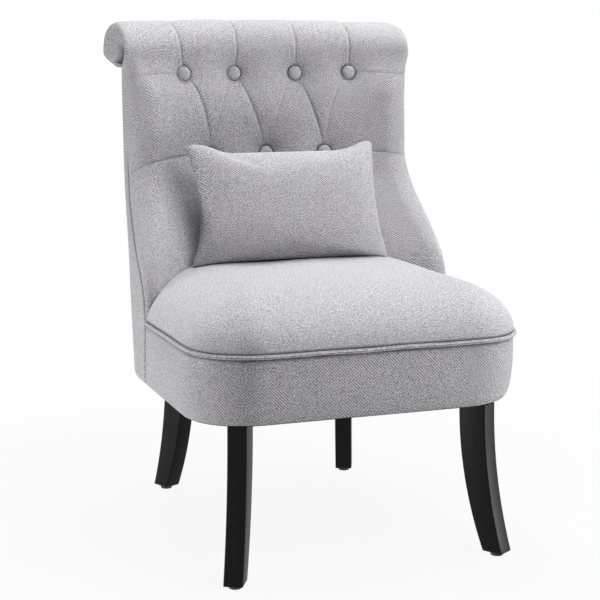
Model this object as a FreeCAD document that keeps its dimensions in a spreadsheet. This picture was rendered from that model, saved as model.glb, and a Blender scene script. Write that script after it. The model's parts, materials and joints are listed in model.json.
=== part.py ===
import FreeCAD, Part
import math
import os
from collections import namedtuple

import Sketcher
from FreeCAD import Placement, Rotation, Vector

# Tub chair: an upholstered drum seat on four sabre legs, a buttoned tub back with a rolled top,
# and a loose lumbar pillow. The origin is the middle of the footprint on the floor, the chair
# faces -Y and +Z is up. Setbacks are measured from the front of the piping.

SIZES = (
    ("overall_depth", 572, "front of the piping to the back of the roll"),
    ("overall_height", 783, "floor to the top of the roll"),
    ("tub_width", 503, "across the outside back, at seat level"),
    ("back_width", 471, "across the back under the roll"),
    ("roll_width", 482, "across the ends of the roll"),
    ("cover_thickness", 1.5, "woven cover"),
    ("soft_gap", 0.3, "room between two soft layers"),
    ("seam_gap", 2.4, "room between two covers at their seam"),
    ("border_bottom", 226, "underside of the base board"),
    ("border_top", 327, "height of the piping"),
    ("drum_front_width", 500, "across the border at its front corners"),
    ("front_corner_radius", 92, "front corners of the drum"),
    ("rear_corner_radius", 160, "rear corners of the tub at seat level"),
    ("back_corner_radius", 61, "rear corners of the back under the roll"),
    ("front_lean", 22, "how far the front face leans in at its foot"),
    ("side_lean", 4, "how far the sides of the tub lean in at their foot"),
    ("edge_turn", 5, "how far the cover turns in at the bottom edge"),
    ("edge_height", 12, "height of that turned edge"),
    ("border_seam_setback", 330, "side seam of the border at its foot"),
    ("drum_rear_setback", 532, "rear of the drum at its foot"),
    ("back_rear_setback", 544, "rear of the back under the roll"),
    ("wing_seam_setback", 314, "wing seam where the wing starts"),
    ("wing_low", 371, "height where the wing starts to sweep back"),
    ("wing_high", 571, "height where the wing has swept back"),
    ("wing_tip_radius", 14, "padded edge of the wing at seat level"),
    ("back_seam_setback", 449, "wing seam at the upper back"),
    ("back_tip_radius", 30, "padded edge of the upper back"),
    ("tub_bow", 87, "hollow of the inside back at seat level"),
    ("back_bow", 43, "hollow of the upper inside back"),
    ("back_rake", 8, "lean of the upper back"),
    ("back_foam_thickness", 26, "foam at the middle of the back"),
    ("roll_height", 77, "rolled top, from its base"),
    ("roll_axis_height", 23, "fullest part of the roll above its base"),
    ("roll_end_round", 12, "how far the top of the roll draws in at each end"),
    ("roll_corner_radius", 30, "edge of the roll's ends"),
    ("outer_wadding", 7, "wadding under the outside back and border"),
    ("outer_board", 3.5, "bent board under that wadding"),
    ("liner_board", 3, "bent board behind the back foam"),
    ("seat_rise", 79, "crown of the seat above the piping"),
    ("seat_run", 125, "width of the rounded shoulder of the seat"),
    ("piping_diameter", 6, "piping cord"),
    ("seat_gap", 0.4, "room between seat and inside back"),
    ("base_board", 15, "plywood base"),
    ("top_ring", 15, "plywood ring under the seat"),
    ("window_width", 330, "opening in both boards"),
    ("window_depth", 249, "opening in both boards"),
    ("window_setback", 85, "front edge of that opening"),
    ("block_length", 72, "corner block"),
    ("block_width", 54, "corner block"),
    ("block_overhang", 12, "corner block beyond the leg bolt"),
    ("fit_gap", 0.3, "room around a fitted wooden piece"),
    ("post_spacing", 150, "between the middles of the back posts"),
    ("post_width", 34, "back post, across the chair"),
    ("post_depth", 18, "back post, fore and aft"),
    ("rib_thickness", 15, "plywood back rib"),
    ("rib_low_height", 410, "underside of the lowest rib"),
    ("rib_pitch", 105, "from one rib to the next"),
    ("rail_length", 400, "top rail"),
    ("rail_depth", 32, "top rail, fore and aft"),
    ("rail_height", 34, "top rail"),
    ("rail_lift", 6, "top rail above the base of the roll"),
    ("leg_thickness", 28, "sabre leg board"),
    ("leg_top_depth", 45, "leg at the seat"),
    ("leg_foot_depth", 33, "leg at the floor"),
    ("leg_sweep", 34, "how far the outer edge sweeps out"),
    ("front_leg_spacing", 366, "between the middles of the front leg tops"),
    ("front_leg_setback", 57, "middle of the front leg tops"),
    ("front_leg_turn", 30, "degrees outward from straight ahead"),
    ("rear_leg_spacing", 292, "between the middles of the rear leg tops"),
    ("rear_leg_setback", 490, "middle of the rear leg tops"),
    ("rear_leg_turn", 24, "degrees outward from straight back"),
    ("glide_diameter", 19, "floor glide"),
    ("glide_height", 6, "floor glide"),
    ("nail_diameter", 3, "nail of the glide"),
    ("nail_length", 16, "nail of the glide"),
    ("bolt_diameter", 8, "hanger bolt"),
    ("bolt_in_leg", 40, "length of the hanger bolt in the leg"),
    ("bolt_in_seat", 26, "length of the hanger bolt above the leg"),
    ("dowel_diameter", 8, "locating dowel"),
    ("dowel_length", 24, "locating dowel"),
    ("dowel_offset", 14, "dowel from the bolt"),
    ("t_nut_barrel", 11, "diameter of the threaded barrel"),
    ("t_nut_flange", 20, "diameter of the flange"),
    ("t_nut_flange_thickness", 1.6, "flange"),
    ("nut_pocket_gap", 1, "room round the flange in the corner block"),
    ("bolt_end_gap", 2, "room above the end of the bolt"),
    ("hole_gap", 0.2, "room around a fastener"),
    ("dust_cover", 0.8, "black cloth under the seat"),
    ("tack_head", 9, "tack of the black cloth"),
    ("tack_head_thickness", 1, "tack of the black cloth"),
    ("tack_shank", 1.8, "tack of the black cloth"),
    ("tack_length", 10, "tack of the black cloth"),
    ("tack_inset", 22, "tacks from the edge of the drum"),
    ("spring_wire", 3.6, "zigzag spring wire"),
    ("spring_half_width", 16, "half of a spring's straight bar"),
    ("spring_pitch", 24, "from one bar to the next"),
    ("spring_spacing", 66, "between springs"),
    ("clip_width", 26, "spring clip"),
    ("clip_depth", 14, "spring clip"),
    ("clip_height", 6.4, "spring clip"),
    ("clip_inset", 12, "spring end bar behind the edge of the opening"),
    ("spring_pad", 4, "felt over the springs"),
    ("screw_diameter", 4, "wood screw"),
    ("screw_length", 38, "wood screw"),
    ("screw_head", 8, "wood screw head"),
    ("button_diameter", 20, "covered button"),
    ("button_thickness", 8, "covered button"),
    ("button_margin", 1, "floor of a tuft beyond its button"),
    ("upper_button_height", 697, "upper row of buttons"),
    ("lower_button_height", 568, "lower row of buttons"),
    ("upper_inner_button", 52, "from the middle of the chair"),
    ("upper_outer_button", 141, "from the middle of the chair"),
    ("lower_outer_button", 98, "from the middle of the chair"),
    ("inner_tuft_depth", 12, "middle buttons below the surface"),
    ("outer_tuft_depth", 7, "outer buttons below the surface"),
    ("pleat_depth", 5, "fold between buttons"),
    ("tuft_angle", 58, "degrees between a tuft's side and its axis"),
    ("twine_diameter", 2, "button twine"),
    ("toggle_length", 14, "toggle behind the liner"),
    ("toggle_width", 5, "toggle behind the liner"),
    ("toggle_slack", 0.8, "between a toggle and the liner, which is bent both ways"),
    ("pillow_width", 328, "between the corners of the pillow"),
    ("pillow_height", 195, "between the corners of the pillow"),
    ("pillow_thickness", 95, "pillow at its middle"),
    ("pillow_draw_in", 10, "how far its sides draw in between the corners"),
    ("pillow_swell", 15, "how far they would swell out at its crown"),
    ("pillow_tilt", 17, "degrees that the pillow leans back"),
    ("pillow_cover", 1.2, "pillow cover"),
    ("zip_width", 7, "zip tape"),
    ("zip_length", 230, "zip tape"),
    ("zip_thickness", 1.6, "zip tape and teeth"),
    ("rest_gap", 0.4, "room between the resting pillow and the chair"),
)

doc = FreeCAD.newDocument("tub_chair")
sheet = doc.addObject("Spreadsheet::Sheet", "sizes")
for row, (alias, value, note) in enumerate(SIZES, 1):
    sheet.set("A%d" % row, str(value))
    sheet.setAlias("A%d" % row, alias)
    sheet.set("B%d" % row, note)
doc.recompute()

S = {alias: float(getattr(sheet, alias)) for alias, value, note in SIZES}
pieces = []


def keep(obj, label):
    """Name a finished piece and put it on the list that is written out."""
    obj.Label = label
    pieces.append(obj)
    return obj


def form(label, shape):
    """A finished piece whose shape comes from lofts or sweeps."""
    obj = doc.addObject("Part::Feature", label)
    obj.Shape = shape
    obj.Placement = Placement()
    return keep(obj, label)


def hidden_form(name, shape):
    """A shape that other pieces are cut from or cut by."""
    obj = doc.addObject("Part::Feature", name)
    obj.Shape = shape
    return obj


def box(name, length, width, height, place):
    """A box, its sides given as expressions, with its corner at the placement."""
    obj = doc.addObject("Part::Box", name)
    obj.setExpression("Length", length)
    obj.setExpression("Width", width)
    obj.setExpression("Height", height)
    obj.Placement = place
    return obj


def cylinder(name, radius, height, place):
    """A cylinder, its sizes given as expressions, standing on the placement."""
    obj = doc.addObject("Part::Cylinder", name)
    obj.setExpression("Radius", radius)
    obj.setExpression("Height", height)
    obj.Placement = place
    return obj


def cut(name, base, tools):
    """The base less all the tools."""
    tool = tools[0]
    if len(tools) > 1:
        tool = doc.addObject("Part::MultiFuse", name + "_tools")
        tool.Shapes = tools
    obj = doc.addObject("Part::Cut", name)
    obj.Base = base
    obj.Tool = tool
    return obj


def fuse(name, shapes):
    """One solid made of several."""
    obj = doc.addObject("Part::MultiFuse", name)
    obj.Shapes = shapes
    return obj


def group(label, shapes):
    """Identical pieces kept together as separate solids."""
    obj = doc.addObject("Part::Compound", label)
    obj.Links = shapes
    return keep(obj, label)


def at(x, y, z, turn=0.0, axis=Vector(0, 0, 1)):
    return Placement(Vector(x, y, z), Rotation(axis, turn))


# Heights and planes that several pieces share
front = -S["overall_depth"] / 2
rear = S["overall_depth"] / 2
piping_radius = S["piping_diameter"] / 2
piping_room = piping_radius + S["hole_gap"]
ring_top = S["border_top"] - piping_room
seat_foot = S["border_top"] + piping_room
crown = S["border_top"] + S["seat_rise"]
roll_base = S["overall_height"] - S["roll_height"]
roll_axis = roll_base + S["roll_axis_height"]
base_top = S["border_bottom"] + S["base_board"]
ring_bottom = ring_top - S["top_ring"]
piping_proud = piping_radius / 2
drum_front = front + piping_proud + piping_radius

# Depths of the layers under the outside cover
under_cover = S["cover_thickness"] + S["soft_gap"]
under_wadding = under_cover + S["outer_wadding"]
board_face = under_wadding + S["soft_gap"]
under_board = board_face + S["outer_board"]
frame_face = under_board + S["soft_gap"]

Level = namedtuple("Level", "z w seam tip inner rear corner tip_radius")


def blend(start, end, share):
    return start + (end - start) * share


def sweep_share(z):
    """0 below the wing's sweep and 1 above it, with a smooth S between."""
    t = (z - S["wing_low"]) / (S["wing_high"] - S["wing_low"])
    t = min(max(t, 0.0), 1.0)
    return t * t * (3 - 2 * t)


def back_level(z):
    """Plan of the tub back at height z: half width, seam, tips, hollow, rear and corner radius."""
    s = sweep_share(z)
    low = min(max((S["wing_low"] - z) / (S["wing_low"] - S["border_bottom"]), 0.0), 1.0)
    lean = max((z - S["wing_high"]) / (roll_base - S["wing_high"]), 0.0)
    width = blend(S["tub_width"], S["back_width"], s) / 2 - S["side_lean"] * low
    rake = S["back_rake"] * lean
    seam = front + blend(S["wing_seam_setback"], S["back_seam_setback"], s) + rake
    tip_radius = blend(S["wing_tip_radius"], S["back_tip_radius"], s)
    tip = seam - tip_radius
    inner = tip + blend(S["tub_bow"], S["back_bow"], s)
    up = (z - S["border_bottom"]) / (roll_base - S["border_bottom"])
    back = front + blend(S["drum_rear_setback"], S["back_rear_setback"], up)
    corner = blend(S["rear_corner_radius"], S["back_corner_radius"], s)
    return Level(z, width, seam, tip, inner, back, corner, tip_radius)


def drum_level(z):
    """Plan of the tub below the seat, where the side seam leans to meet the wing."""
    level = back_level(z)
    share = (ring_top - z) / (ring_top - S["border_bottom"])
    seam = front + blend(S["wing_seam_setback"], S["border_seam_setback"], share)
    return level._replace(seam=seam)


base_level = back_level(roll_base)
roll_middle = (base_level.inner + rear) / 2
roll_reach = rear - roll_middle


def roll_level(angle, inset):
    """Plan of the roll where its round is at an angle in radians: below its axis only the rear
    swells out, and above it front and rear close in towards the ridge."""
    spread = math.cos(angle)
    reach = (roll_reach - inset) * spread
    top = S["overall_height"] - roll_axis - inset
    if angle < 0:
        start = -math.acos((base_level.rear - inset - roll_middle) / (roll_reach - inset))
        z = roll_axis - S["roll_axis_height"] * math.sin(angle) / math.sin(start)
        spread = 1.0
        inner = base_level.inner + inset
    else:
        z = roll_axis + top * math.sin(angle)
        inner = roll_middle - reach
    half = S["roll_width"] / 2 - inset - S["roll_end_round"] * (1 - spread)
    tip = inner - S["back_bow"] * spread
    radius = (S["back_tip_radius"] - inset) * spread
    corner = (S["roll_corner_radius"] - inset) * spread
    return Level(z, half, tip + radius, tip, inner, roll_middle + reach, corner, radius)


def wire(steps):
    """A closed wire from (point,) for a line or (middle, point) for an arc, back to its start."""
    return Part.Wire(path_edges(steps[-1][-1], steps))


def path_edges(start, steps):
    """Lines and arcs from a start through the given steps."""
    edges = []
    for step in steps:
        curve = Part.LineSegment(start, step[0]) if len(step) == 1 else Part.Arc(start, *step)
        edges.append(curve.toShape())
        start = step[-1]
    return edges


def quarter(cx, cy, z, radius, degrees):
    """Middle point of a quarter arc that faces the given direction."""
    a = math.radians(degrees)
    return Vector(cx + radius * math.cos(a), cy + radius * math.sin(a), z)


def rear_steps(v, inset, start):
    """From the right side, at the start's y, round the rear to the left side."""
    w = v.w - inset
    cx = v.w - v.corner
    cy = v.rear - v.corner
    r = v.corner - inset
    return [
        (Vector(w, cy, v.z),),
        (quarter(cx, cy, v.z, r, 45), Vector(cx, v.rear - inset, v.z)),
        (Vector(-cx, v.rear - inset, v.z),),
        (quarter(-cx, cy, v.z, r, 135), Vector(-w, cy, v.z)),
        (Vector(-w, start, v.z),),
    ]


def back_steps(steps, start):
    """The same steps walked the other way, ending at the given start point."""
    points = [start] + [step[-1] for step in steps]
    turned = []
    for index in range(len(steps) - 1, -1, -1):
        turned.append(steps[index][:-1] + (points[index],))
    return turned


def front_steps(v, inset):
    """From the left seam round the wing tips and the hollow inside back to the right seam."""
    w = v.w - inset
    cx = v.w - v.tip_radius
    r = v.tip_radius - inset
    return [
        (quarter(-cx, v.seam, v.z, r, 225), Vector(-cx, v.tip + inset, v.z)),
        (Vector(0, v.inner + inset, v.z), Vector(cx, v.tip + inset, v.z)),
        (quarter(cx, v.seam, v.z, r, 315), Vector(w, v.seam, v.z)),
    ]


def crescent(v, inset):
    """The whole plan of the back."""
    return wire(rear_steps(v, inset, v.seam) + front_steps(v, inset))


def rear_strip(v, outer, inner, start):
    """A layer of the outside back between two depths, from the start's y on one side to the other."""
    out = rear_steps(v, outer, start)
    back = back_steps(rear_steps(v, inner, start), Vector(v.w - inner, start, v.z))
    left = Vector(inner - v.w, start, v.z)
    right = Vector(v.w - outer, start, v.z)
    return wire(out + [(left,)] + back + [(right,)])


def front_lens(v, inset, depth, run):
    """The padded front of the back: tips and hollow in front, a flatter arc behind that starts
    a given run behind the seams."""
    w = v.w - inset
    left = Vector(-w, v.seam + run, v.z)
    right = Vector(w, v.seam + run, v.z)
    steps = front_steps(v, inset)
    if run > 0:
        steps = [(Vector(-w, v.seam, v.z),)] + steps + [(right,)]
    return wire(steps + [(Vector(0, v.inner + depth, v.z), left)])


def loft(wires, ruled=False):
    return Part.makeLoft(wires, True, ruled)


def steps_between(low, high, count):
    return [low + (high - low) * k / (count - 1) for k in range(count)]


BACK_LEVELS = 9
ROLL_ANGLES = (-0.7, -0.35, 0.0, 0.35, 0.7, 1.0, 1.25, 1.48)
SEAT_ANGLES = (0.0, 0.25, 0.5, 0.75, 1.0, 1.2, 1.38)
back_heights = steps_between(ring_top, roll_base, BACK_LEVELS)


def roll_solid(inset):
    """The rolled top, on the plan of the back at its base."""
    wires = [crescent(base_level, inset)]
    wires += [crescent(roll_level(angle, inset), 0) for angle in ROLL_ANGLES]
    return loft(wires)


def front_solid(inset, depth, run):
    """The padded front of the back, from the seat's ring up to the roll."""
    return loft([front_lens(back_level(z), inset, depth, run) for z in back_heights])


def drum_steps(z, inset):
    """Plan of the whole drum at height z, with its front face leaning in at the foot."""
    v = drum_level(z)
    share = (S["border_top"] - z) / (S["border_top"] - S["border_bottom"])
    face = drum_front + S["front_lean"] * share
    half = S["drum_front_width"] / 2
    r = S["front_corner_radius"]
    cx = half - r
    cy = face + r
    return v, [
        (Vector(half - inset, cy, z),),
        (quarter(cx, cy, z, r - inset, 315), Vector(cx, face + inset, z)),
        (Vector(-cx, face + inset, z),),
        (quarter(-cx, cy, z, r - inset, 225), Vector(-(half - inset), cy, z)),
    ]


def drum_outline(z, inset):
    """The drum's outline as one closed wire."""
    v, round_front = drum_steps(z, inset)
    w = v.w - inset
    cx = v.w - v.corner
    cy = v.rear - v.corner
    r = v.corner - inset
    return wire(round_front + [
        (Vector(-w, cy, z),),
        (quarter(-cx, cy, z, r, 135), Vector(-cx, v.rear - inset, z)),
        (Vector(cx, v.rear - inset, z),),
        (quarter(cx, cy, z, r, 45), Vector(w, cy, z)),
    ])


def side_x(y, z, inset):
    """Half width of the drum at y, on its straight side."""
    v, steps = drum_steps(z, inset)
    side = steps[0][0]
    share = (y - side.y) / (v.rear - v.corner - side.y)
    return blend(side.x, v.w - inset, share)


def border_strip(z, outer, inner):
    """A layer of the border, from the right side seam round the front to the left one."""
    v, out = drum_steps(z, outer)
    inn = drum_steps(z, inner)[1]
    y = v.seam - S["soft_gap"]
    xo = side_x(y, z, outer)
    xi = side_x(y, z, inner)
    back = back_steps(inn, Vector(xi, y, z))
    turn = [(Vector(-xo, y, z),), (Vector(-xi, y, z),), (inn[-1][-1],)]
    return wire(out + turn + back + [(Vector(xo, y, z),)])


def drum_solid(low, high, inset):
    """The inside of the drum between two heights."""
    return loft([drum_outline(low, inset), drum_outline(high, inset)], True)


edge_top = S["border_bottom"] + S["edge_height"]


def drum_levels():
    """Heights and extra turn of the drum's skin, from its bottom edge up."""
    return ((S["border_bottom"], S["edge_turn"]), (edge_top, 0.0), (ring_top, 0.0))


def seat_dome(foot, inset):
    """The crowned seat: the drum's plan drawn in along a quarter ellipse."""
    rise = crown - inset - foot
    wires = []
    for angle in SEAT_ANGLES:
        draw = inset + S["seat_run"] * (1 - math.cos(angle))
        wires.append(seat_outline(foot + rise * math.sin(angle), draw))
    return loft(wires)


def seat_outline(z, draw):
    """The drum's plan at the piping, drawn in, with corners that stay round."""
    v = drum_level(S["border_top"])
    half = S["drum_front_width"] / 2 - draw
    w = v.w - draw
    least = S["front_corner_radius"] / 6
    rf = max(S["front_corner_radius"] - draw, least)
    rb = max(v.corner - draw, least)
    face = drum_front + draw
    back = v.rear - draw
    return wire([
        (Vector(half, face + rf, z),),
        (quarter(half - rf, face + rf, z, rf, 315), Vector(half - rf, face, z)),
        (Vector(rf - half, face, z),),
        (quarter(rf - half, face + rf, z, rf, 225), Vector(-half, face + rf, z)),
        (Vector(-w, back - rb, z),),
        (quarter(rb - w, back - rb, z, rb, 135), Vector(rb - w, back, z)),
        (Vector(w - rb, back, z),),
        (quarter(w - rb, back - rb, z, rb, 45), Vector(w, back - rb, z)),
    ])


# Buttons: the middle of each tuft's floor
inner_tuft = S["inner_tuft_depth"]
outer_tuft = S["outer_tuft_depth"]
Tuft = namedtuple("Tuft", "x y z")


def surface_y(x, z):
    """Front of the padded inside back at a point, on the arc of its hollow."""
    v = back_level(z)
    half = v.w - v.tip_radius
    bow = v.inner - v.tip
    radius = (half * half + bow * bow) / (2 * bow)
    return v.inner - radius + math.sqrt(radius * radius - x * x)


def tuft(x, z, depth):
    return Tuft(x, surface_y(x, z) + depth, z)


def pair(x, z, depth):
    return [tuft(-x, z, depth), tuft(x, z, depth)]


upper_inner = pair(S["upper_inner_button"], S["upper_button_height"], inner_tuft)
upper_outer = pair(S["upper_outer_button"], S["upper_button_height"], outer_tuft)
lower_middle = tuft(0, S["lower_button_height"], inner_tuft)
lower_outer = pair(S["lower_outer_button"], S["lower_button_height"], outer_tuft)
tufts = upper_inner + upper_outer + [lower_middle] + lower_outer
tuft_slope = math.radians(S["tuft_angle"])
button_seat = S["button_diameter"] / 2 + S["button_margin"]
TUFT_LENGTH = 40


def tuft_cone(t, inset):
    """The funnel that a button pulls in, offset by a layer's depth."""
    shift = inset / math.sin(tuft_slope)
    floor = button_seat + (shift - inset) * math.tan(tuft_slope)
    mouth = floor + TUFT_LENGTH * math.tan(tuft_slope)
    return Part.makeCone(floor, mouth, TUFT_LENGTH, Vector(t.x, t.y + inset, t.z), Vector(0, -1, 0))


def pleat(start, end, inset):
    """A V-shaped fold between two points of the cover, offset by a layer's depth."""
    depth = S["pleat_depth"] + inset / math.sin(tuft_slope)
    foot = Vector(start[0], surface_y(start[0], start[1]) + depth, start[1])
    head = Vector(end[0], surface_y(end[0], end[1]) + depth, end[1])
    side = (head - foot).cross(Vector(0, 1, 0)).normalize()
    mouth = foot + Vector(0, -TUFT_LENGTH, 0)
    reach = side * (TUFT_LENGTH * math.tan(tuft_slope))
    face = Part.Face(Part.makePolygon([foot, mouth + reach, mouth - reach, foot]))
    return face.extrude(head - foot)


def pleat_lines():
    """Ends of the folds: diamonds between the rows, runs out to the sides and up over the roll."""
    lines = []
    for side in (-1, 1):
        inner = (side * S["upper_inner_button"], S["upper_button_height"])
        outer = (side * S["upper_outer_button"], S["upper_button_height"])
        low = (side * S["lower_outer_button"], S["lower_button_height"])
        lines.append((inner, (0, S["lower_button_height"])))
        lines.append((inner, low))
        lines.append((outer, low))
        reach = side * (S["back_width"] / 2 - S["back_tip_radius"])
        lines.append((outer, (reach, S["upper_button_height"])))
        lines.append((low, (reach, S["lower_button_height"])))
        for button in (inner, outer):
            lines.append((button, (button[0], S["overall_height"])))
    return lines


def tuft_tools(inset):
    """Everything that the buttons and folds take out of a layer."""
    tools = [tuft_cone(t, inset) for t in tufts]
    tools += [pleat(start, end, inset) for start, end in pleat_lines()]
    return tools


foam_depth = S["back_foam_thickness"]
twine_hole = S["twine_diameter"] / 2 + S["hole_gap"]


def twine_holes():
    """Channels that the button twines run through, from the button to the frame."""
    return [Part.makeCylinder(twine_hole, TUFT_LENGTH, Vector(t.x, t.y, t.z), Vector(0, 1, 0)) for t in tufts]


def foam_arc(v, x, extra):
    """Rear of the back foam at x, or of a layer that much behind it: an arc from seam to seam."""
    half = v.w - under_cover
    bow = v.inner + foam_depth - v.seam
    radius = (half * half + bow * bow) / (2 * bow)
    return v.inner + foam_depth - radius + math.sqrt((radius + extra) ** 2 - x * x)


def arc_point(v, x, extra):
    return Vector(x, foam_arc(v, x, extra), v.z)


def liner_strip(v):
    """The bent board behind the back foam."""
    half = v.w - frame_face
    near = S["soft_gap"]
    far = near + S["liner_board"]
    return wire([
        (arc_point(v, 0, near), arc_point(v, half, near)),
        (arc_point(v, half, far),),
        (arc_point(v, 0, far), arc_point(v, -half, far)),
        (arc_point(v, -half, near),),
    ])


def frame_plan(v):
    """Room for the wooden frame, between the liner and the outside board."""
    half = v.w - frame_face
    near = 2 * S["soft_gap"] + S["liner_board"]
    start = foam_arc(v, half, near)
    return wire(rear_steps(v, frame_face, start) + [(arc_point(v, 0, near), Vector(half, start, v.z))])


def outside_layer(outer, inner):
    """A layer of the outside back from the seat's ring to the roll, clear of the back foam."""
    wires = []
    for z in back_heights:
        v = back_level(z)
        wires.append(rear_strip(v, outer, inner, foam_arc(v, v.w - inner, S["soft_gap"])))
    return loft(wires)


# Inside back: one cover over the front and the roll, the foam under it and the liner behind
cover = S["cover_thickness"]
plain_front = front_solid(0, foam_depth, 0)


def front_and_roll(inset, run):
    """The buttoned front and the roll as solids at a layer's depth."""
    depth = foam_depth + (inset + run if run > 0 else 0)
    tools = tuft_tools(inset)
    return front_solid(inset, depth, run).cut(tools), roll_solid(inset).cut(tools)


outer_front, outer_roll = front_and_roll(0, 0)
inner_front, inner_roll = front_and_roll(cover, TUFT_LENGTH)
front_skin = outer_front.cut(inner_front).cut(twine_holes())
roll_skin = outer_roll.cut(inner_roll)
form("inside_back_cover", front_skin.fuse(roll_skin))

foam_front, foam_roll = front_and_roll(under_cover, 0)
form("back_foam", foam_front.cut(twine_holes()))
form("back_liner", loft([liner_strip(back_level(z)) for z in back_heights]).cut(twine_holes()))

# Outside back: cover down to the foot of the drum, wadding and bent board
seam_gap = S["seam_gap"]
rear_foot = loft([rear_strip(drum_level(z), turn, cover + turn, drum_level(z).seam + seam_gap)
                  for z, turn in drum_levels()], True)
rear_back = loft([rear_strip(back_level(z), 0, cover, back_level(z).seam + seam_gap)
                  for z in steps_between(ring_top, roll_base - seam_gap, BACK_LEVELS)])
form("outside_back_cover", rear_foot.fuse(rear_back))
form("outside_back_wadding", outside_layer(under_cover, under_wadding))
form("outside_back_board", outside_layer(board_face, under_board))

# Border of the drum: cover, wadding and bent board
form("seat_border_cover", loft([border_strip(z, turn, cover + turn) for z, turn in drum_levels()], True))
form("border_wadding", drum_solid(edge_top, ring_top, under_cover).cut(
    drum_solid(edge_top, ring_top, under_wadding)))
form("border_board", drum_solid(edge_top, ring_top, board_face).cut(
    drum_solid(edge_top, ring_top, under_board)))


def piping():
    """The piping cord, from one wing round the front to the other."""
    z = S["border_top"]
    steps = drum_steps(z, -piping_proud)[1]
    end = back_level(ring_top).tip - S["soft_gap"]
    start = Vector(side_x(end, z, -piping_proud), end, z)
    edges = path_edges(start, steps + [(Vector(-start.x, end, z),)])
    ring = Part.Wire(Part.makeCircle(piping_radius, start, steps[0][0] - start))
    return Part.Wire(edges).makePipeShell([ring], True, False)


form("seat_piping", piping())

# Wooden frame of the drum
leg_top = S["border_bottom"] - S["dust_cover"]
leg_height = leg_top - S["glide_height"]
Leg = namedtuple("Leg", "name x y turn")
front_leg_y = front + S["front_leg_setback"]
rear_leg_y = front + S["rear_leg_setback"]
legs = []
for name, side in (("left", -1), ("right", 1)):
    front_turn = -90 + side * S["front_leg_turn"]
    rear_turn = 90 - side * S["rear_leg_turn"]
    legs.append(Leg("front_" + name, side * S["front_leg_spacing"] / 2, front_leg_y, front_turn))
    legs.append(Leg("rear_" + name, side * S["rear_leg_spacing"] / 2, rear_leg_y, rear_turn))


def on_leg(leg, out, aside, z):
    """A place beside a leg's bolt: outward along its sweep, then to its side."""
    a = math.radians(leg.turn)
    x = leg.x + out * math.cos(a) - aside * math.sin(a)
    y = leg.y + out * math.sin(a) + aside * math.cos(a)
    return at(x, y, z, leg.turn)


def screw_shape(place, gap, length):
    """A countersunk wood screw that points along the placement's +Z, grown by a gap."""
    radius = S["screw_diameter"] / 2 + gap
    head = S["screw_head"] / 2 + gap
    shank = Part.makeCylinder(radius, length + gap)
    top = Part.makeCone(head, radius, head - radius)
    screw = shank.fuse(top).removeSplitter()
    screw.Placement = place
    return screw


def screws(label, places, length):
    """A set of screws, and the holes that they need."""
    form(label, Part.makeCompound([screw_shape(place, 0, length) for place in places]))
    holes = Part.makeCompound([screw_shape(place, S["hole_gap"], length) for place in places])
    return hidden_form(label + "_holes", holes)


down = Rotation(Vector(1, 0, 0), 180)
post_front = base_level.inner + foam_depth + 2 * S["soft_gap"] + S["liner_board"]
post_middle = post_front + S["post_depth"] / 2
rail_bottom = roll_base + S["rail_lift"]
rail_top = rail_bottom + S["rail_height"]
post_places = [side * S["post_spacing"] / 2 for side in (-1, 1)]
screw_reach = S["screw_head"] * 2
ring_places = [Placement(on_leg(leg, -screw_reach, 0, ring_top).Base, down) for leg in legs]
base_places = [Placement(on_leg(leg, -screw_reach, side, S["border_bottom"]).Base, Rotation())
               for leg in legs for side in (-screw_reach, screw_reach)]
foot_places = [at(x, post_middle, S["border_bottom"]) for x in post_places]
rail_places = [Placement(Vector(x, post_middle, rail_top), down) for x in post_places]
ring_holes = screws("ring_screws", ring_places, S["screw_length"])
base_holes = screws("block_screws", base_places, S["screw_length"])
foot_holes = screws("post_screws", foot_places, S["screw_length"])
rail_holes = screws("rail_screws", rail_places, S["screw_length"] + S["rail_height"])

bolt_radius = "sizes.bolt_diameter / 2"
dowel_radius = "sizes.dowel_diameter / 2"
nut_radius = "sizes.t_nut_barrel / 2"
flange_radius = "sizes.t_nut_flange / 2"
gap = " + sizes.hole_gap"
window_front = front + S["window_setback"]
window_rear = window_front + S["window_depth"]
window_place = (-S["window_width"] / 2, window_front)


def window(name, z):
    """The opening in a board."""
    return box(name, "sizes.window_width", "sizes.window_depth", "sizes.base_board + sizes.top_ring",
               at(window_place[0], window_place[1], z))


def post_slots(name, z, height):
    """Room for the back posts in a piece that they pass through."""
    wide = "sizes.post_width + 2 * sizes.fit_gap"
    deep = "sizes.post_depth + 2 * sizes.fit_gap"
    slots = []
    for index, x in enumerate(post_places):
        corner = at(x - S["post_width"] / 2 - S["fit_gap"], post_front - S["fit_gap"], z)
        slots.append(box("%s_slot_%d" % (name, index), wide, deep, height, corner))
    return slots


def board(name, z, thickness):
    """A plywood board on the drum's plan."""
    face = Part.Face(drum_outline(z, frame_face))
    return hidden_form(name, face.extrude(Vector(0, 0, thickness)))


nut_holes = [cylinder("nut_hole_" + leg.name, nut_radius + gap, "sizes.base_board",
                      on_leg(leg, 0, 0, S["border_bottom"])) for leg in legs]
dowel_holes = [cylinder("dowel_hole_" + leg.name, dowel_radius + gap, "sizes.dowel_length / 2",
                        on_leg(leg, -S["dowel_offset"], 0, S["border_bottom"])) for leg in legs]
TACK_COUNT = 24


def tack_points():
    """Places of the tacks, evenly round the drum's edge but clear of the legs."""
    ring = drum_outline(S["border_bottom"], S["tack_inset"])
    clear = S["leg_top_depth"] / 2 + 2 * S["tack_head"]
    points = ring.discretize(Number=TACK_COUNT + 1)[:-1]
    return [p for p in points if all(math.hypot(p.x - leg.x, p.y - leg.y) > clear for leg in legs)]


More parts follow.
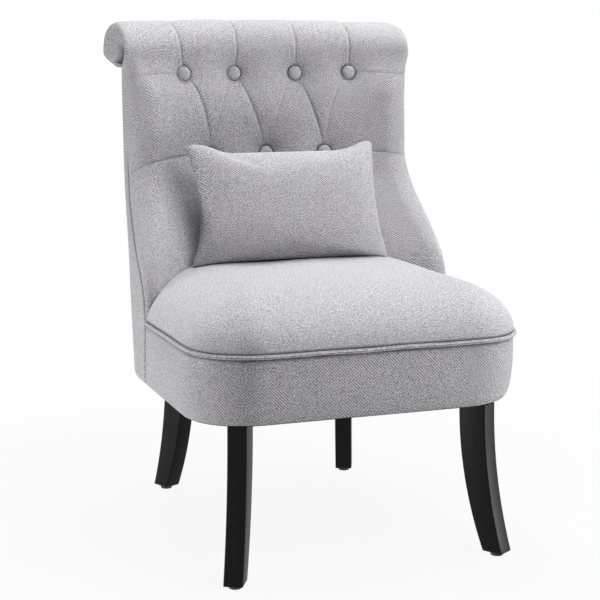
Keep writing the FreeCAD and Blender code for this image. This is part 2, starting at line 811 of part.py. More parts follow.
tacks = []
tack_holes = []
for number, point in enumerate(tack_points(), 1):
    head = cylinder("tack_head_%d" % number, "sizes.tack_head / 2", "sizes.tack_head_thickness",
                    at(point.x, point.y, leg_top - S["tack_head_thickness"]))
    shank = cylinder("tack_shank_%d" % number, "sizes.tack_shank / 2", "sizes.tack_length",
                     at(point.x, point.y, leg_top))
    tacks.append(fuse("tack_%d" % number, [head, shank]))
    tack_holes.append(cylinder("tack_hole_%d" % number, "sizes.tack_shank / 2" + gap,
                               "sizes.tack_length" + gap, at(point.x, point.y, leg_top)))
group("dust_cover_tacks", tacks)

base_blank = board("base_blank", S["border_bottom"], S["base_board"])
base_window = window("base_window", S["border_bottom"])
keep(cut("base_cut", base_blank, nut_holes + dowel_holes + tack_holes + [base_holes, foot_holes, base_window]),
     "seat_base_board")

cloth_face = Part.Face(drum_outline(S["border_bottom"], S["edge_turn"] + under_cover))
cloth = hidden_form("cloth_blank", cloth_face.extrude(Vector(0, 0, -S["dust_cover"])))
bolt_holes = [cylinder("bolt_hole_" + leg.name, bolt_radius + gap, "2 * sizes.dust_cover",
                       on_leg(leg, 0, 0, leg_top - S["dust_cover"])) for leg in legs]
cloth_dowel_holes = [cylinder("cloth_dowel_hole_" + leg.name, dowel_radius + gap, "2 * sizes.dust_cover",
                              on_leg(leg, -S["dowel_offset"], 0, leg_top - S["dust_cover"])) for leg in legs]
keep(cut("cloth_cut", cloth, bolt_holes + cloth_dowel_holes + tack_holes), "dust_cover")

ring_blank = board("ring_blank", ring_bottom, S["top_ring"])
keep(cut("ring_cut", ring_blank, [ring_holes, window("ring_window", ring_bottom)]
         + post_slots("ring", ring_bottom, "sizes.top_ring")), "seat_top_ring")

drum_room = hidden_form("drum_room", drum_solid(base_top, ring_bottom, frame_face))
nut_room = "sizes.bolt_in_seat - sizes.base_board - sizes.dust_cover + sizes.bolt_end_gap"
for leg in legs:
    inner_end = S["block_overhang"] - S["block_length"]
    corner = on_leg(leg, inner_end, -S["block_width"] / 2, base_top)
    blank = box("block_blank_" + leg.name, "sizes.block_length", "sizes.block_width",
                "sizes.border_top - sizes.border_bottom", corner)
    shaped = doc.addObject("Part::Common", "block_shaped_" + leg.name)
    shaped.Base = blank
    shaped.Tool = drum_room
    pocket = cylinder("block_pocket_" + leg.name, flange_radius + " + sizes.nut_pocket_gap", nut_room,
                      on_leg(leg, 0, 0, base_top))
    keep(cut("block_" + leg.name, shaped, [pocket, ring_holes, base_holes]), "corner_block_" + leg.name)

# Wooden frame of the back
post_height = ("sizes.overall_height - sizes.roll_height + sizes.rail_lift"
               " - sizes.border_bottom - sizes.base_board")
for name, x in zip(("left", "right"), post_places):
    post = box("post_blank_" + name, "sizes.post_width", "sizes.post_depth", post_height,
               at(x - S["post_width"] / 2, post_front, base_top))
    keep(cut("post_" + name, post, [foot_holes, rail_holes]), "back_post_" + name)

frame_room = loft([frame_plan(back_level(z)) for z in back_heights])
for index, name in enumerate(("lower", "middle", "upper")):
    z = S["rib_low_height"] + index * S["rib_pitch"]
    slab = Part.makeBox(2 * S["tub_width"], 2 * S["overall_depth"], S["rib_thickness"],
                        Vector(-S["tub_width"], -S["overall_depth"], z))
    blank = hidden_form("rib_blank_" + name, frame_room.common(slab))
    slots = post_slots("rib_" + name, z, "sizes.rib_thickness")
    keep(cut("rib_" + name, blank, slots), "back_rib_" + name)

rail_front = post_middle - S["rail_depth"] / 2
rail = box("rail_blank", "sizes.rail_length", "sizes.rail_depth", "sizes.rail_height",
           at(-S["rail_length"] / 2, rail_front, rail_bottom))
keep(cut("rail_cut", rail, [rail_holes]), "back_top_rail")
rail_room = box("rail_room", "sizes.rail_length + 2 * sizes.fit_gap", "sizes.rail_depth + 2 * sizes.fit_gap",
                "sizes.rail_height + 2 * sizes.fit_gap",
                at(-S["rail_length"] / 2 - S["fit_gap"], rail_front - S["fit_gap"], rail_bottom - S["fit_gap"]))
roll_blank = hidden_form("roll_blank", foam_roll)
keep(cut("roll_cut", roll_blank, [rail_room] + post_slots("roll", roll_base, "sizes.rail_lift")), "roll_foam")

# Seat: springs on clips, felt, foam and cover
spring_front = window_front - S["clip_inset"]
spring_rear = window_rear + S["clip_inset"]
spring_z = ring_top + S["clip_height"] / 2
SPRING_COUNT = 5
spring_places = [(k - (SPRING_COUNT - 1) / 2) * S["spring_spacing"] for k in range(SPRING_COUNT)]


def zigzag_spring(x):
    """One zigzag spring: bars across the seat joined by half turns at alternate ends."""
    turns = round((spring_rear - spring_front) / S["spring_pitch"])
    pitch = (spring_rear - spring_front) / turns
    half = S["spring_half_width"]
    edges = []
    for k in range(turns + 1):
        side = 1 if k % 2 == 0 else -1
        y = spring_front + k * pitch
        start = Vector(x - side * half, y, spring_z)
        end = Vector(x + side * half, y, spring_z)
        edges.append(Part.LineSegment(start, end).toShape())
        if k < turns:
            middle = Vector(end.x + side * pitch / 2, y + pitch / 2, spring_z)
            edges.append(Part.Arc(end, middle, Vector(end.x, y + pitch, spring_z)).toShape())
    first = edges[0].Vertexes[0].Point
    ring = Part.Wire(Part.makeCircle(S["spring_wire"] / 2, first, Vector(1, 0, 0)))
    return Part.Wire(edges).makePipeShell([ring], True, False)


form("seat_springs", Part.makeCompound([zigzag_spring(x) for x in spring_places]))
clips = []
for x in spring_places:
    for end, y in (("front", spring_front), ("rear", spring_rear)):
        name = "clip_%s_%d" % (end, round(x))
        body = box(name + "_body", "sizes.clip_width", "sizes.clip_depth", "sizes.clip_height",
                   at(x - S["clip_width"] / 2, y - S["clip_depth"] / 2, ring_top))
        bore = cylinder(name + "_bore", "sizes.spring_wire / 2" + gap, "2 * sizes.clip_width",
                        at(x - S["clip_width"], y, spring_z, 90, Vector(0, 1, 0)))
        clips.append(cut(name, body, [bore]))
group("spring_clips", clips)

pad_half = spring_places[-1] + S["spring_half_width"] + S["spring_pitch"]
pad_rear = window_rear + S["clip_inset"] / 2
pad_bottom = ring_top + S["clip_height"]
pad_width = "%d * sizes.spring_spacing" % (SPRING_COUNT - 1)
pad_width += " + 2 * (sizes.spring_half_width + sizes.spring_pitch)"
pad = box("pad", pad_width, "sizes.window_depth + 1.5 * sizes.clip_inset", "sizes.spring_pad",
          at(-pad_half, spring_front, pad_bottom))
keep(pad, "spring_pad")
fit = S["fit_gap"]
pad_room = Part.makeBox(2 * (pad_half + fit), pad_rear - spring_front + 2 * fit,
                        S["clip_height"] + S["spring_pad"],
                        Vector(-pad_half - fit, spring_front - fit, ring_top))
clip_reach = S["clip_depth"] / 2 + fit
clip_room = Part.makeBox(2 * (pad_half + fit), spring_rear - spring_front + 2 * clip_reach,
                         S["clip_height"] + fit, Vector(-pad_half - fit, spring_front - clip_reach, ring_top))
back_room = loft([crescent(back_level(z), -S["seat_gap"]) for z in back_heights])
form("seat_foam", seat_dome(ring_top, under_cover).cut([back_room, pad_room, clip_room]))
plain_seat = seat_dome(seat_foot, 0)
form("seat_top_cover", plain_seat.cut(seat_dome(seat_foot, cover)).cut(back_room))

# Buttons with their twines and toggles
button_radius = S["button_diameter"] / 2
button_rim = S["button_thickness"] / 4


def button(t):
    """A domed disc whose flat back sits on the floor of its tuft."""
    dome = S["button_thickness"] - button_rim
    ball_radius = (button_radius ** 2 + dome ** 2) / (2 * dome)
    disc = Part.makeCylinder(button_radius, S["button_thickness"])
    ball = Part.makeSphere(ball_radius, Vector(0, 0, S["button_thickness"] - ball_radius))
    solid = disc.common(ball)
    solid.Placement = at(t.x, t.y, t.z, 90, Vector(1, 0, 0))
    return solid


def toggle_y(t):
    """Front of a toggle, just behind the liner where that reaches furthest back."""
    x = max(abs(t.x) - S["toggle_width"] / 2, 0)
    behind = 2 * S["soft_gap"] + S["liner_board"] + S["toggle_slack"]
    ends = (t.z - S["toggle_length"] / 2, t.z + S["toggle_length"] / 2)
    return max(foam_arc(back_level(z), x, behind) for z in ends)


form("tuft_buttons", Part.makeCompound([button(t) for t in tufts]))
twines = []
toggles = []
for number, t in enumerate(tufts, 1):
    length = "%.6f" % (toggle_y(t) - t.y)
    twines.append(cylinder("twine_%d" % number, "sizes.twine_diameter / 2", length,
                           at(t.x, t.y, t.z, -90, Vector(1, 0, 0))))
    corner = at(t.x - S["toggle_width"] / 2, toggle_y(t), t.z - S["toggle_length"] / 2)
    toggles.append(box("toggle_%d" % number, "sizes.toggle_width", "sizes.toggle_width",
                       "sizes.toggle_length", corner))
group("tuft_twines", twines)
group("tuft_toggles", toggles)


# Legs with their bolts, dowels, nuts and glides
def origin_plane(body, role):
    return [feature for feature in body.Origin.OriginFeatures if feature.Role == role][0]


def size_constraint(sketch, constraint, expression):
    index = sketch.addConstraint(constraint)
    sketch.setExpression("Constraints[%d]" % index, expression)


def sabre_sketch(body):
    """The leg's outline: two arcs that leave the seat upright and sweep out to the foot."""
    sketch = body.newObject("Sketcher::SketchObject", body.Name + "_outline")
    sketch.AttachmentSupport = [(origin_plane(body, "XZ_Plane"), "")]
    sketch.MapMode = "FlatFace"
    top = S["leg_top_depth"]
    sweeps = (S["leg_sweep"], S["leg_sweep"] + top - S["leg_foot_depth"])
    starts = (top / 2, -top / 2)
    feet = [Vector(start + sweep, -leg_height, 0) for start, sweep in zip(starts, sweeps)]
    sketch.addGeometry(Part.LineSegment(Vector(starts[1], 0, 0), Vector(starts[0], 0, 0)))
    sketch.addGeometry(Part.LineSegment(feet[0], feet[1]))
    for start, sweep in zip(starts, sweeps):
        radius = (leg_height ** 2 + sweep ** 2) / (2 * sweep)
        circle = Part.Circle(Vector(start + radius, 0, 0), Vector(0, 0, 1), radius)
        turn = math.asin(leg_height / radius)
        sketch.addGeometry(Part.ArcOfCircle(circle, math.pi, math.pi + turn))
    for line, end, arc, arc_end in ((0, 2, 2, 1), (0, 1, 3, 1), (1, 1, 2, 2), (1, 2, 3, 2)):
        sketch.addConstraint(Sketcher.Constraint("Coincident", line, end, arc, arc_end))
    sketch.addConstraint(Sketcher.Constraint("Horizontal", 1))
    sketch.addConstraint(Sketcher.Constraint("Symmetric", 0, 1, 0, 2, -1, 1))
    sketch.addConstraint(Sketcher.Constraint("Horizontal", 0))
    for arc in (2, 3):
        sketch.addConstraint(Sketcher.Constraint("PointOnObject", arc, 3, 0))
    size_constraint(sketch, Sketcher.Constraint("DistanceX", 0, 1, 0, 2, top), "sizes.leg_top_depth")
    size_constraint(sketch, Sketcher.Constraint("DistanceX", 1, 2, 1, 1, S["leg_foot_depth"]),
                    "sizes.leg_foot_depth")
    size_constraint(sketch, Sketcher.Constraint("DistanceX", 0, 2, 1, 1, S["leg_sweep"]), "sizes.leg_sweep")
    size_constraint(sketch, Sketcher.Constraint("DistanceY", 1, 1, 0, 2, leg_height),
                    "sizes.border_bottom - sizes.dust_cover - sizes.glide_height")
    return sketch


def bore(body, name, out, radius, depth, bottom):
    """A blind hole along the leg, from its top or from its foot, at its axis or that far out."""
    sketch = body.newObject("Sketcher::SketchObject", name + "_circle")
    sketch.AttachmentSupport = [(origin_plane(body, "XY_Plane"), "")]
    sketch.MapMode = "FlatFace"
    if bottom:
        sketch.setExpression(".AttachmentOffset.Base.z",
                             "-(sizes.border_bottom - sizes.dust_cover - sizes.glide_height)")
    sketch.addGeometry(Part.Circle(Vector(1, 0, 0), Vector(0, 0, 1), 1))
    if out:
        sketch.addConstraint(Sketcher.Constraint("PointOnObject", 0, 3, -1))
        size_constraint(sketch, Sketcher.Constraint("DistanceX", -1, 1, 0, 3, 1), out)
    else:
        sketch.addConstraint(Sketcher.Constraint("Coincident", 0, 3, -1, 1))
    size_constraint(sketch, Sketcher.Constraint("Radius", 0, 1), radius)
    pocket = body.newObject("PartDesign::Pocket", name)
    pocket.Profile = sketch
    pocket.setExpression("Length", depth)
    pocket.Reversed = bottom
    return pocket


foot_middle = S["leg_top_depth"] / 2 + S["leg_sweep"] - S["leg_foot_depth"] / 2
FOOT_MIDDLE = "sizes.leg_top_depth / 2 + sizes.leg_sweep - sizes.leg_foot_depth / 2"
for leg in legs:
    body = doc.addObject("PartDesign::Body", "leg_body_" + leg.name)
    outline = sabre_sketch(body)
    pad_feature = body.newObject("PartDesign::Pad", "leg_pad_" + leg.name)
    pad_feature.Profile = outline
    pad_feature.setExpression("Length", "sizes.leg_thickness")
    pad_feature.SideType = "Symmetric"
    bore(body, "leg_bolt_" + leg.name, "", bolt_radius + gap, "sizes.bolt_in_leg" + gap, False)
    bore(body, "leg_dowel_" + leg.name, "-sizes.dowel_offset", dowel_radius + gap,
         "sizes.dowel_length / 2" + gap, False)
    bore(body, "leg_nail_" + leg.name, FOOT_MIDDLE, "sizes.nail_diameter / 2" + gap,
         "sizes.nail_length" + gap, True)
    body.Placement = on_leg(leg, 0, 0, leg_top)
    keep(body, "leg_" + leg.name)

bolts = []
dowels = []
nuts = []
glides = []
for leg in legs:
    bolts.append(cylinder("bolt_" + leg.name, bolt_radius, "sizes.bolt_in_leg + sizes.bolt_in_seat",
                          on_leg(leg, 0, 0, leg_top - S["bolt_in_leg"])))
    dowels.append(cylinder("dowel_" + leg.name, dowel_radius, "sizes.dowel_length - sizes.hole_gap",
                           on_leg(leg, -S["dowel_offset"], 0, leg_top - S["dowel_length"] / 2)))
    barrel = cylinder("nut_barrel_" + leg.name, nut_radius, "sizes.base_board",
                      on_leg(leg, 0, 0, S["border_bottom"]))
    flange = cylinder("nut_flange_" + leg.name, flange_radius, "sizes.t_nut_flange_thickness",
                      on_leg(leg, 0, 0, base_top))
    thread = cylinder("nut_thread_" + leg.name, bolt_radius + gap, "2 * sizes.base_board",
                      on_leg(leg, 0, 0, S["border_bottom"]))
    nuts.append(cut("nut_" + leg.name, fuse("nut_blank_" + leg.name, [barrel, flange]), [thread]))
    disc = cylinder("glide_disc_" + leg.name, "sizes.glide_diameter / 2", "sizes.glide_height",
                    on_leg(leg, foot_middle, 0, 0))
    nail = cylinder("glide_nail_" + leg.name, "sizes.nail_diameter / 2", "sizes.nail_length",
                    on_leg(leg, foot_middle, 0, S["glide_height"]))
    glides.append(fuse("glide_" + leg.name, [disc, nail]))
group("leg_bolts", bolts)
group("leg_dowels", dowels)
group("leg_t_nuts", nuts)
group("floor_glides", glides)

# Loose pillow, made upright round its seam and then leaned against the back
PILLOW_SHARES = (0.0, 0.15, 0.35, 0.6, 0.85)
SETTLING_STEPS = 12
pillow_run = S["pillow_height"] / 2 - S["pillow_draw_in"]


def pillow_outline(share, side, inset):
    """The pillow's outline at a share of the way from its seam in to its crown: four arcs that
    draw in at the seam and swell out towards the crown."""
    y = side * (S["pillow_thickness"] / 2 - inset) * (1 - (1 - share) ** 2)
    wide = S["pillow_width"] / 2 - inset - pillow_run * share
    high = S["pillow_height"] / 2 - inset - pillow_run * share
    draw = blend(S["pillow_draw_in"], -S["pillow_swell"], share)
    return wire([
        (Vector(0, y, draw - high), Vector(wide, y, -high)),
        (Vector(wide - draw, y, 0), Vector(wide, y, high)),
        (Vector(0, y, high - draw), Vector(-wide, y, high)),
        (Vector(draw - wide, y, 0), Vector(-wide, y, -high)),
    ])


def pillow_half(side, inset):
    """One face of the pillow, from its seam to its crown."""
    return loft([pillow_outline(share, side, inset) for share in PILLOW_SHARES])


def pillow_zip():
    """The zip under the bottom seam, along the same drawn-in arc."""
    wide = S["pillow_width"] / 2
    draw = S["pillow_draw_in"]
    radius = (wide * wide + draw * draw) / (2 * draw)
    centre = draw - S["pillow_height"] / 2 - radius
    near = S["soft_gap"]
    far = near + S["zip_thickness"]
    half = S["zip_length"] / 2

    def below(x, drop):
        return Vector(x, -S["zip_width"] / 2, centre + math.sqrt((radius - drop) ** 2 - x * x))

    outline = wire([(below(0, near), below(half, near)), (below(half, far),),
                    (below(0, far), below(-half, far)), (below(-half, near),)])
    return Part.Face(outline).extrude(Vector(0, S["zip_width"], 0))


def resting_place(pillow):
    """Where the pillow comes to rest: lowered to the seat and pushed to the back, step by step,
    each time by no more than the room that is left."""
    lean = Rotation(Vector(1, 0, 0), -S["pillow_tilt"])
    y = base_level.tip - S["pillow_thickness"]
    z = crown + S["pillow_height"]
    for step in range(SETTLING_STEPS):
        for obstacle, move in ((plain_seat, Vector(0, 0, -1)), (plain_front, Vector(0, 1, 0))):
            pillow.Placement = Placement(Vector(0, y, z), lean)
            room = pillow.distToShape(obstacle)[0] - S["rest_gap"]
            y += move.y * room
            z += move.z * room
    return Placement(Vector(0, y, z), lean)


whole_pillow = pillow_half(-1, 0).fuse(pillow_half(1, 0))
pillow_place = resting_place(whole_pillow)
print("pillow rests at", pillow_place.Base)
insert_depth = S["pillow_cover"] + S["soft_gap"]
pillow_pieces = (
    ("pillow_front_cover", pillow_half(-1, 0).cut(pillow_half(-1, S["pillow_cover"]))),
    ("pillow_rear_cover", pillow_half(1, 0).cut(pillow_half(1, S["pillow_cover"]))),
    ("pillow_insert", pillow_half(-1, insert_depth).fuse(pillow_half(1, insert_depth))),
    ("pillow_zip", pillow_zip()),
)
for label, shape in pillow_pieces:
    form(label, shape).Placement = pillow_place

doc.recompute()
for obj in doc.Objects:
    if "Invalid" in obj.State or "Error" in obj.State:
        raise RuntimeError("%s failed: %s" % (obj.Name, obj.State))
for piece in pieces:
    if piece.Shape.isNull() or not piece.Shape.isValid():
        raise RuntimeError("%s has no valid shape" % piece.Label)

os.makedirs("parts", exist_ok=True)
for piece in pieces:
    piece.Shape.exportStep("parts/%s.step" % piece.Label)
print(len(pieces), "pieces written")
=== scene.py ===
import json
import math

import bmesh
import bpy
import numpy as np
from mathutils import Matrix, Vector


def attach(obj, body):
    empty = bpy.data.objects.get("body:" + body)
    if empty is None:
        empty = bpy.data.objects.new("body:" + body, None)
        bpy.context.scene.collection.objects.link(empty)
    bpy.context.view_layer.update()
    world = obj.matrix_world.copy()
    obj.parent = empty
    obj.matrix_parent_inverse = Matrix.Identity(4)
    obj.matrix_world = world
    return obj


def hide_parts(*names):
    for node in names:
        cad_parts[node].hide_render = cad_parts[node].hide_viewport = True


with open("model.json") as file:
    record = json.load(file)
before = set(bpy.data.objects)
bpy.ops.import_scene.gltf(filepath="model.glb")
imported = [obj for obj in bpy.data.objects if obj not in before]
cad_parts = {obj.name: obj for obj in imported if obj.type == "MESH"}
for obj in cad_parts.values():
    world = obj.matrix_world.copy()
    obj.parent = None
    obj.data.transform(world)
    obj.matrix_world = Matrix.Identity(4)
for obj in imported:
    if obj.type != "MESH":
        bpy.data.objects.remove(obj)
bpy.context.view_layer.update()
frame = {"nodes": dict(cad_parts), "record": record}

# Sizes in metres, as in the part. The chair faces -Y and its plan is symmetric about x = 0.
FRONT = -0.286
FOOT = 0.226
RING_TOP = 0.3238
BORDER_TOP = 0.327
SEAT_FOOT = 0.3302
CROWN = 0.406
WING_LOW = 0.371
WING_HIGH = 0.571
SEAM_HEAD = 0.585
ROLL_BASE = 0.706
ROLL_AXIS = 0.729
ROLL_TOP = 0.783
ROLL_HALF = 0.241
ROLL_REAR = 0.286
COVER = 0.0015
QUARTER, TURN = 0.5 * math.pi, 2.0 * math.pi

# The tub's plan. Each pair is a size at the low end of the wings' sweep and at its high end, and the
# rear's pair is at the foot and at the roll. Setbacks are measured from the front.
TUB_HALF = (0.2515, 0.2355)
SEAM_SETBACK = (0.314, 0.449)
EDGE_ROUND = (0.014, 0.030)
HOLLOW_BOW = (0.087, 0.043)
REAR_CORNER = (0.160, 0.061)
REAR_SETBACK = (0.532, 0.544)
SEAM_LEAN = 0.008
SIDE_LEAN = 0.004

# The drum under the seat
DRUM_FRONT = -0.2815
DRUM_HALF = 0.250
DRUM_CORNER = 0.092
FRONT_LEAN = 0.022
DRUM_SEAM_SETBACK = 0.330
MIRROR = np.array([-1.0, 1.0])

# Seams: how dark their painted shade is, the width of that painted line and of their groove, and its depth
# on each cover
SEAM_PAINTED_SHADE = 0.95
SEAM_LINE = 0.0030
SEAM_GROOVE = 0.0028
INSIDE_PINCH, OUTSIDE_PINCH, BORDER_PINCH = 0.0035, 0.0040, 0.0012


def smooth(t):
    """0 to 1 along a smooth S as t goes from 0 to 1."""
    t = np.clip(t, 0.0, 1.0)
    return t * t * (3.0 - 2.0 * t)


def ramp(value, start, end):
    """0 up to start, 1 from end on, and a smooth S between them."""
    return smooth((value - start) / (end - start))


def mix(start, end, share):
    return start + (end - start) * share


def span(start, end, count):
    return np.linspace(start, end, count)


def joined(*parts):
    """Runs of numbers end to end, without the repeated starts."""
    return np.concatenate([parts[0]] + [part[1:] for part in parts[1:]])


def chain(*parts, axis=0):
    return np.concatenate(parts, axis)


def stacked(*fields):
    """Fields of numbers as the coordinates of points."""
    return np.stack(np.broadcast_arrays(*fields), axis=-1)


def line(gap, width):
    """1 on a line, falling off to 0 with the distance from it."""
    return np.exp(-(gap / width) ** 2)


def sewn(z):
    """1 where the seam of a wing is sewn, fading out below its head."""
    return 1 - ramp(z, SEAM_HEAD - 0.05, SEAM_HEAD)


def ripple(u, v, scale, seed, count=7):
    """A gentle unevenness between -1 and 1: a sum of sine waves in seeded directions."""
    draw = np.random.default_rng(seed)
    angle = draw.uniform(0.0, TURN, count)
    phase = draw.uniform(0.0, TURN, count)
    pace = TURN / scale * draw.uniform(0.6, 1.6, count)
    total = np.zeros_like(u)
    for a, p, k in zip(angle, phase, pace):
        total += np.sin(k * (u * math.cos(a) + v * math.sin(a)) + p)
    return total / math.sqrt(count) / 1.6


class Plan:
    """The tub's plan at heights z, blended along the S of the wing's sweep."""

    def __init__(self, z):
        s = ramp(z, WING_LOW, WING_HIGH)
        low = np.clip((WING_LOW - z) / (WING_LOW - FOOT), 0.0, 1.0)
        lean = np.maximum((z - WING_HIGH) / (ROLL_BASE - WING_HIGH), 0.0)
        self.half = mix(*TUB_HALF, s) - SIDE_LEAN * low
        self.seam = FRONT + mix(*SEAM_SETBACK, s) + SEAM_LEAN * lean
        self.round = mix(*EDGE_ROUND, s)
        self.tip = self.seam - self.round
        self.bow = mix(*HOLLOW_BOW, s)
        self.rear = FRONT + mix(*REAR_SETBACK, (z - FOOT) / (ROLL_BASE - FOOT))
        self.corner = mix(*REAR_CORNER, s)

    def hollow(self, x):
        """Front of the inside back: a circle's arc from tip to tip."""
        h = self.half - self.round
        radius = (h * h + self.bow * self.bow) / (2.0 * self.bow)
        return self.tip + self.bow - radius + np.sqrt(np.maximum(radius * radius - x * x, 0.0))


# Meshes
def lengths(points, axis):
    """Distance travelled along the grid's rows or columns, from their first point."""
    steps = np.linalg.norm(np.diff(points, axis=axis), axis=2)
    return np.insert(np.cumsum(steps, axis=axis), 0, 0.0, axis=axis)


def travelled(points):
    """Distance along a single run of points, from its first one."""
    return lengths(points[None], 1)[0]


def grid_faces(rows, cols, first=0):
    """Four-sided faces between neighbouring points of a grid."""
    at = np.arange(rows * cols).reshape(rows, cols) + first
    return stacked(at[:-1, :-1], at[:-1, 1:], at[1:, 1:], at[1:, :-1]).reshape(-1, 4)


class Patchwork:
    """Grids of points gathered into one mesh. Each has flat cloth places in metres and a painted shade,
    which says how much the cloth's colour is darkened at its points inside a seam, fold or gap."""

    def __init__(self):
        self.points, self.cloth, self.creases, self.faces = [], [], [], []
        self.count = 0

    def add(self, points, cloth, crease=0.0, flip=False):
        """Add a grid, and give the number of its first point."""
        rows, cols = points.shape[:2]
        first = self.count
        faces = grid_faces(rows, cols, first)
        self.faces.append(faces[:, ::-1] if flip else faces)
        self.points.append(points.reshape(-1, 3))
        self.cloth.append(cloth.reshape(-1, 2))
        self.creases.append(np.broadcast_to(crease, (rows, cols)).ravel())
        self.count += rows * cols
        return first

    def piece(self, name, more_faces=()):
        """The mesh object. More faces have any number of corners."""
        faces = np.concatenate(self.faces).tolist() + [list(face) for face in more_faces]
        mesh = bpy.data.meshes.new(name)
        mesh.from_pydata(np.concatenate(self.points).tolist(), [], faces)
        corner = np.zeros(len(mesh.loops), dtype=np.int32)
        mesh.loops.foreach_get("vertex_index", corner)
        cloth = np.concatenate(self.cloth)[corner].astype(np.float32)
        mesh.uv_layers.new(name="cloth").data.foreach_set("uv", cloth.ravel())
        # Painted shade: stored on the points, it darkens the cover's colour where shade falls in seams,
        # folds and gaps.
        crease = np.concatenate(self.creases).astype(np.float32)
        mesh.attributes.new("crease", "FLOAT", "POINT").data.foreach_set("value", crease)
        mesh.validate()
        mesh.update()
        mesh.shade_smooth()
        made = bpy.data.objects.new(name, mesh)
        bpy.context.scene.collection.objects.link(made)
        return made


def grid_piece(name, points, cloth, crease=0.0, flip=False, more_faces=()):
    """A piece made of a single grid."""
    patches = Patchwork()
    patches.add(points, cloth, crease, flip)
    return patches.piece(name, more_faces)


def tube_caps(rows, cols):
    """Faces that close both ends of a grid whose last column repeats its first."""
    last = (rows - 1) * cols
    return [range(cols - 1), range(last + cols - 2, last - 1, -1)]


def from_edge(around):
    """Distance from the nearer end of a row that is measured from its middle."""
    return np.abs(around[:, :1]) - np.abs(around)


def weld(piece, distance=1e-5):
    """Merge points that lie on each other and point every face outwards."""
    form = bmesh.new()
    form.from_mesh(piece.data)
    bmesh.ops.remove_doubles(form, verts=form.verts, dist=distance)
    bmesh.ops.recalc_face_normals(form, faces=form.faces)
    form.to_mesh(piece.data)
    form.free()
    piece.data.shade_smooth()
    return piece


def thicken(piece, thickness=COVER):
    """Give a cover its thickness on the inside, with closed edges."""
    shell = piece.modifiers.new("cover", "SOLIDIFY")
    shell.thickness = thickness
    shell.offset = -1.0
    shell.use_rim = True
    return piece


def crisp(piece, degrees):
    """Smooth shading that stays crisp over edges sharper than an angle."""
    piece.data.set_sharp_from_angle(angle=math.radians(degrees))
    return piece


# Inside back with its rolled top
UPPER_BUTTONS, LOWER_BUTTONS = 0.697, 0.568
INNER_BUTTON, OUTER_BUTTON, LOW_BUTTON = 0.052, 0.141, 0.098
BUTTON_ROWS = ((UPPER_BUTTONS, (-OUTER_BUTTON, -INNER_BUTTON, INNER_BUTTON, OUTER_BUTTON)),
               (LOWER_BUTTONS, (-LOW_BUTTON, 0.0, LOW_BUTTON)))
BUTTON_RADIUS, BUTTON_RIM = 0.0114, 0.0115
MIDDLE_SINK, OUTER_SINK = 0.0135, 0.0085
FOLD_WIDTH, FOLD_CREASE, FOLD_LINE = 0.012, 0.0020, 0.0013
FOLD_START, FOLD_END = 0.0058, 0.0048
FOLD_EDGE = 0.25
WRAP_LEAST, WRAP_MORE = 0.0006, 0.029
FINE_FROM = 0.535
WIDEN_FROM, FLARE_FROM = 0.645, 0.660
REAR_FLARE, UNDER_NARROW = 0.0055, 0.0015
ROLL_ROUND, UNDER_ROUND = 0.006, 0.005
ROLL_DRAW, TOP_DRAW = 0.008, 0.003
BOW_LOST = 0.28
ROLL_CROWN = 0.0045
WRAP_COLUMNS, BEND_COLUMNS, FLAT_COLUMNS, END_COLUMNS, WALL_COLUMNS = 5, 17, 269, 41, 7
WALL_DEPTH = 0.024
GATHER_Y, GATHER_Z = 0.150, 0.712
TUCK_HIGH, TUCK_LOW = 0.0045, 0.0150
base = Plan(np.array(ROLL_BASE))
roll_front = float(base.tip + base.bow)
roll_middle = (roll_front + ROLL_REAR) / 2.0
roll_reach = ROLL_REAR - roll_middle
roll_swell = math.acos((float(base.rear) - roll_middle) / roll_reach)


def wrap_reach(z):
    """How far the inside cover wraps back along the wing's side: most just above the seat."""
    shrunk = 1 - 0.55 * ramp(z, 0.46, 0.56)
    return WRAP_LEAST + WRAP_MORE * ramp(z, 0.355, 0.440) * shrunk * (1 - ramp(z, 0.57, 0.66))


def fold_distance(across, along, curve):
    """Distance of each point from a curve of short runs, its side, and its share of the way along."""
    start = curve[:-1]
    run = curve[1:] - start
    px = across[..., None] - start[:, 0]
    pz = along[..., None] - start[:, 1]
    t = np.clip((px * run[:, 0] + pz * run[:, 1]) / (run * run).sum(axis=1), 0.0, 1.0)
    gap = np.hypot(px - t * run[:, 0], pz - t * run[:, 1])
    side = px * run[:, 1] - pz * run[:, 0]
    nearest = gap.argmin(axis=-1)[..., None]
    gap, side, t = (np.take_along_axis(field, nearest, axis=-1)[..., 0] for field in (gap, side, t))
    return gap, side, (nearest[..., 0] + t) / len(run)


def bent(start, middle, end, count=22):
    """A quadratic curve from start to end that leans towards middle."""
    t = span(0.0, 1.0, count)[:, None]
    start, middle, end = (np.array(p) for p in (start, middle, end))
    return (1 - t) ** 2 * start + 2 * t * (1 - t) * middle + t * t * end


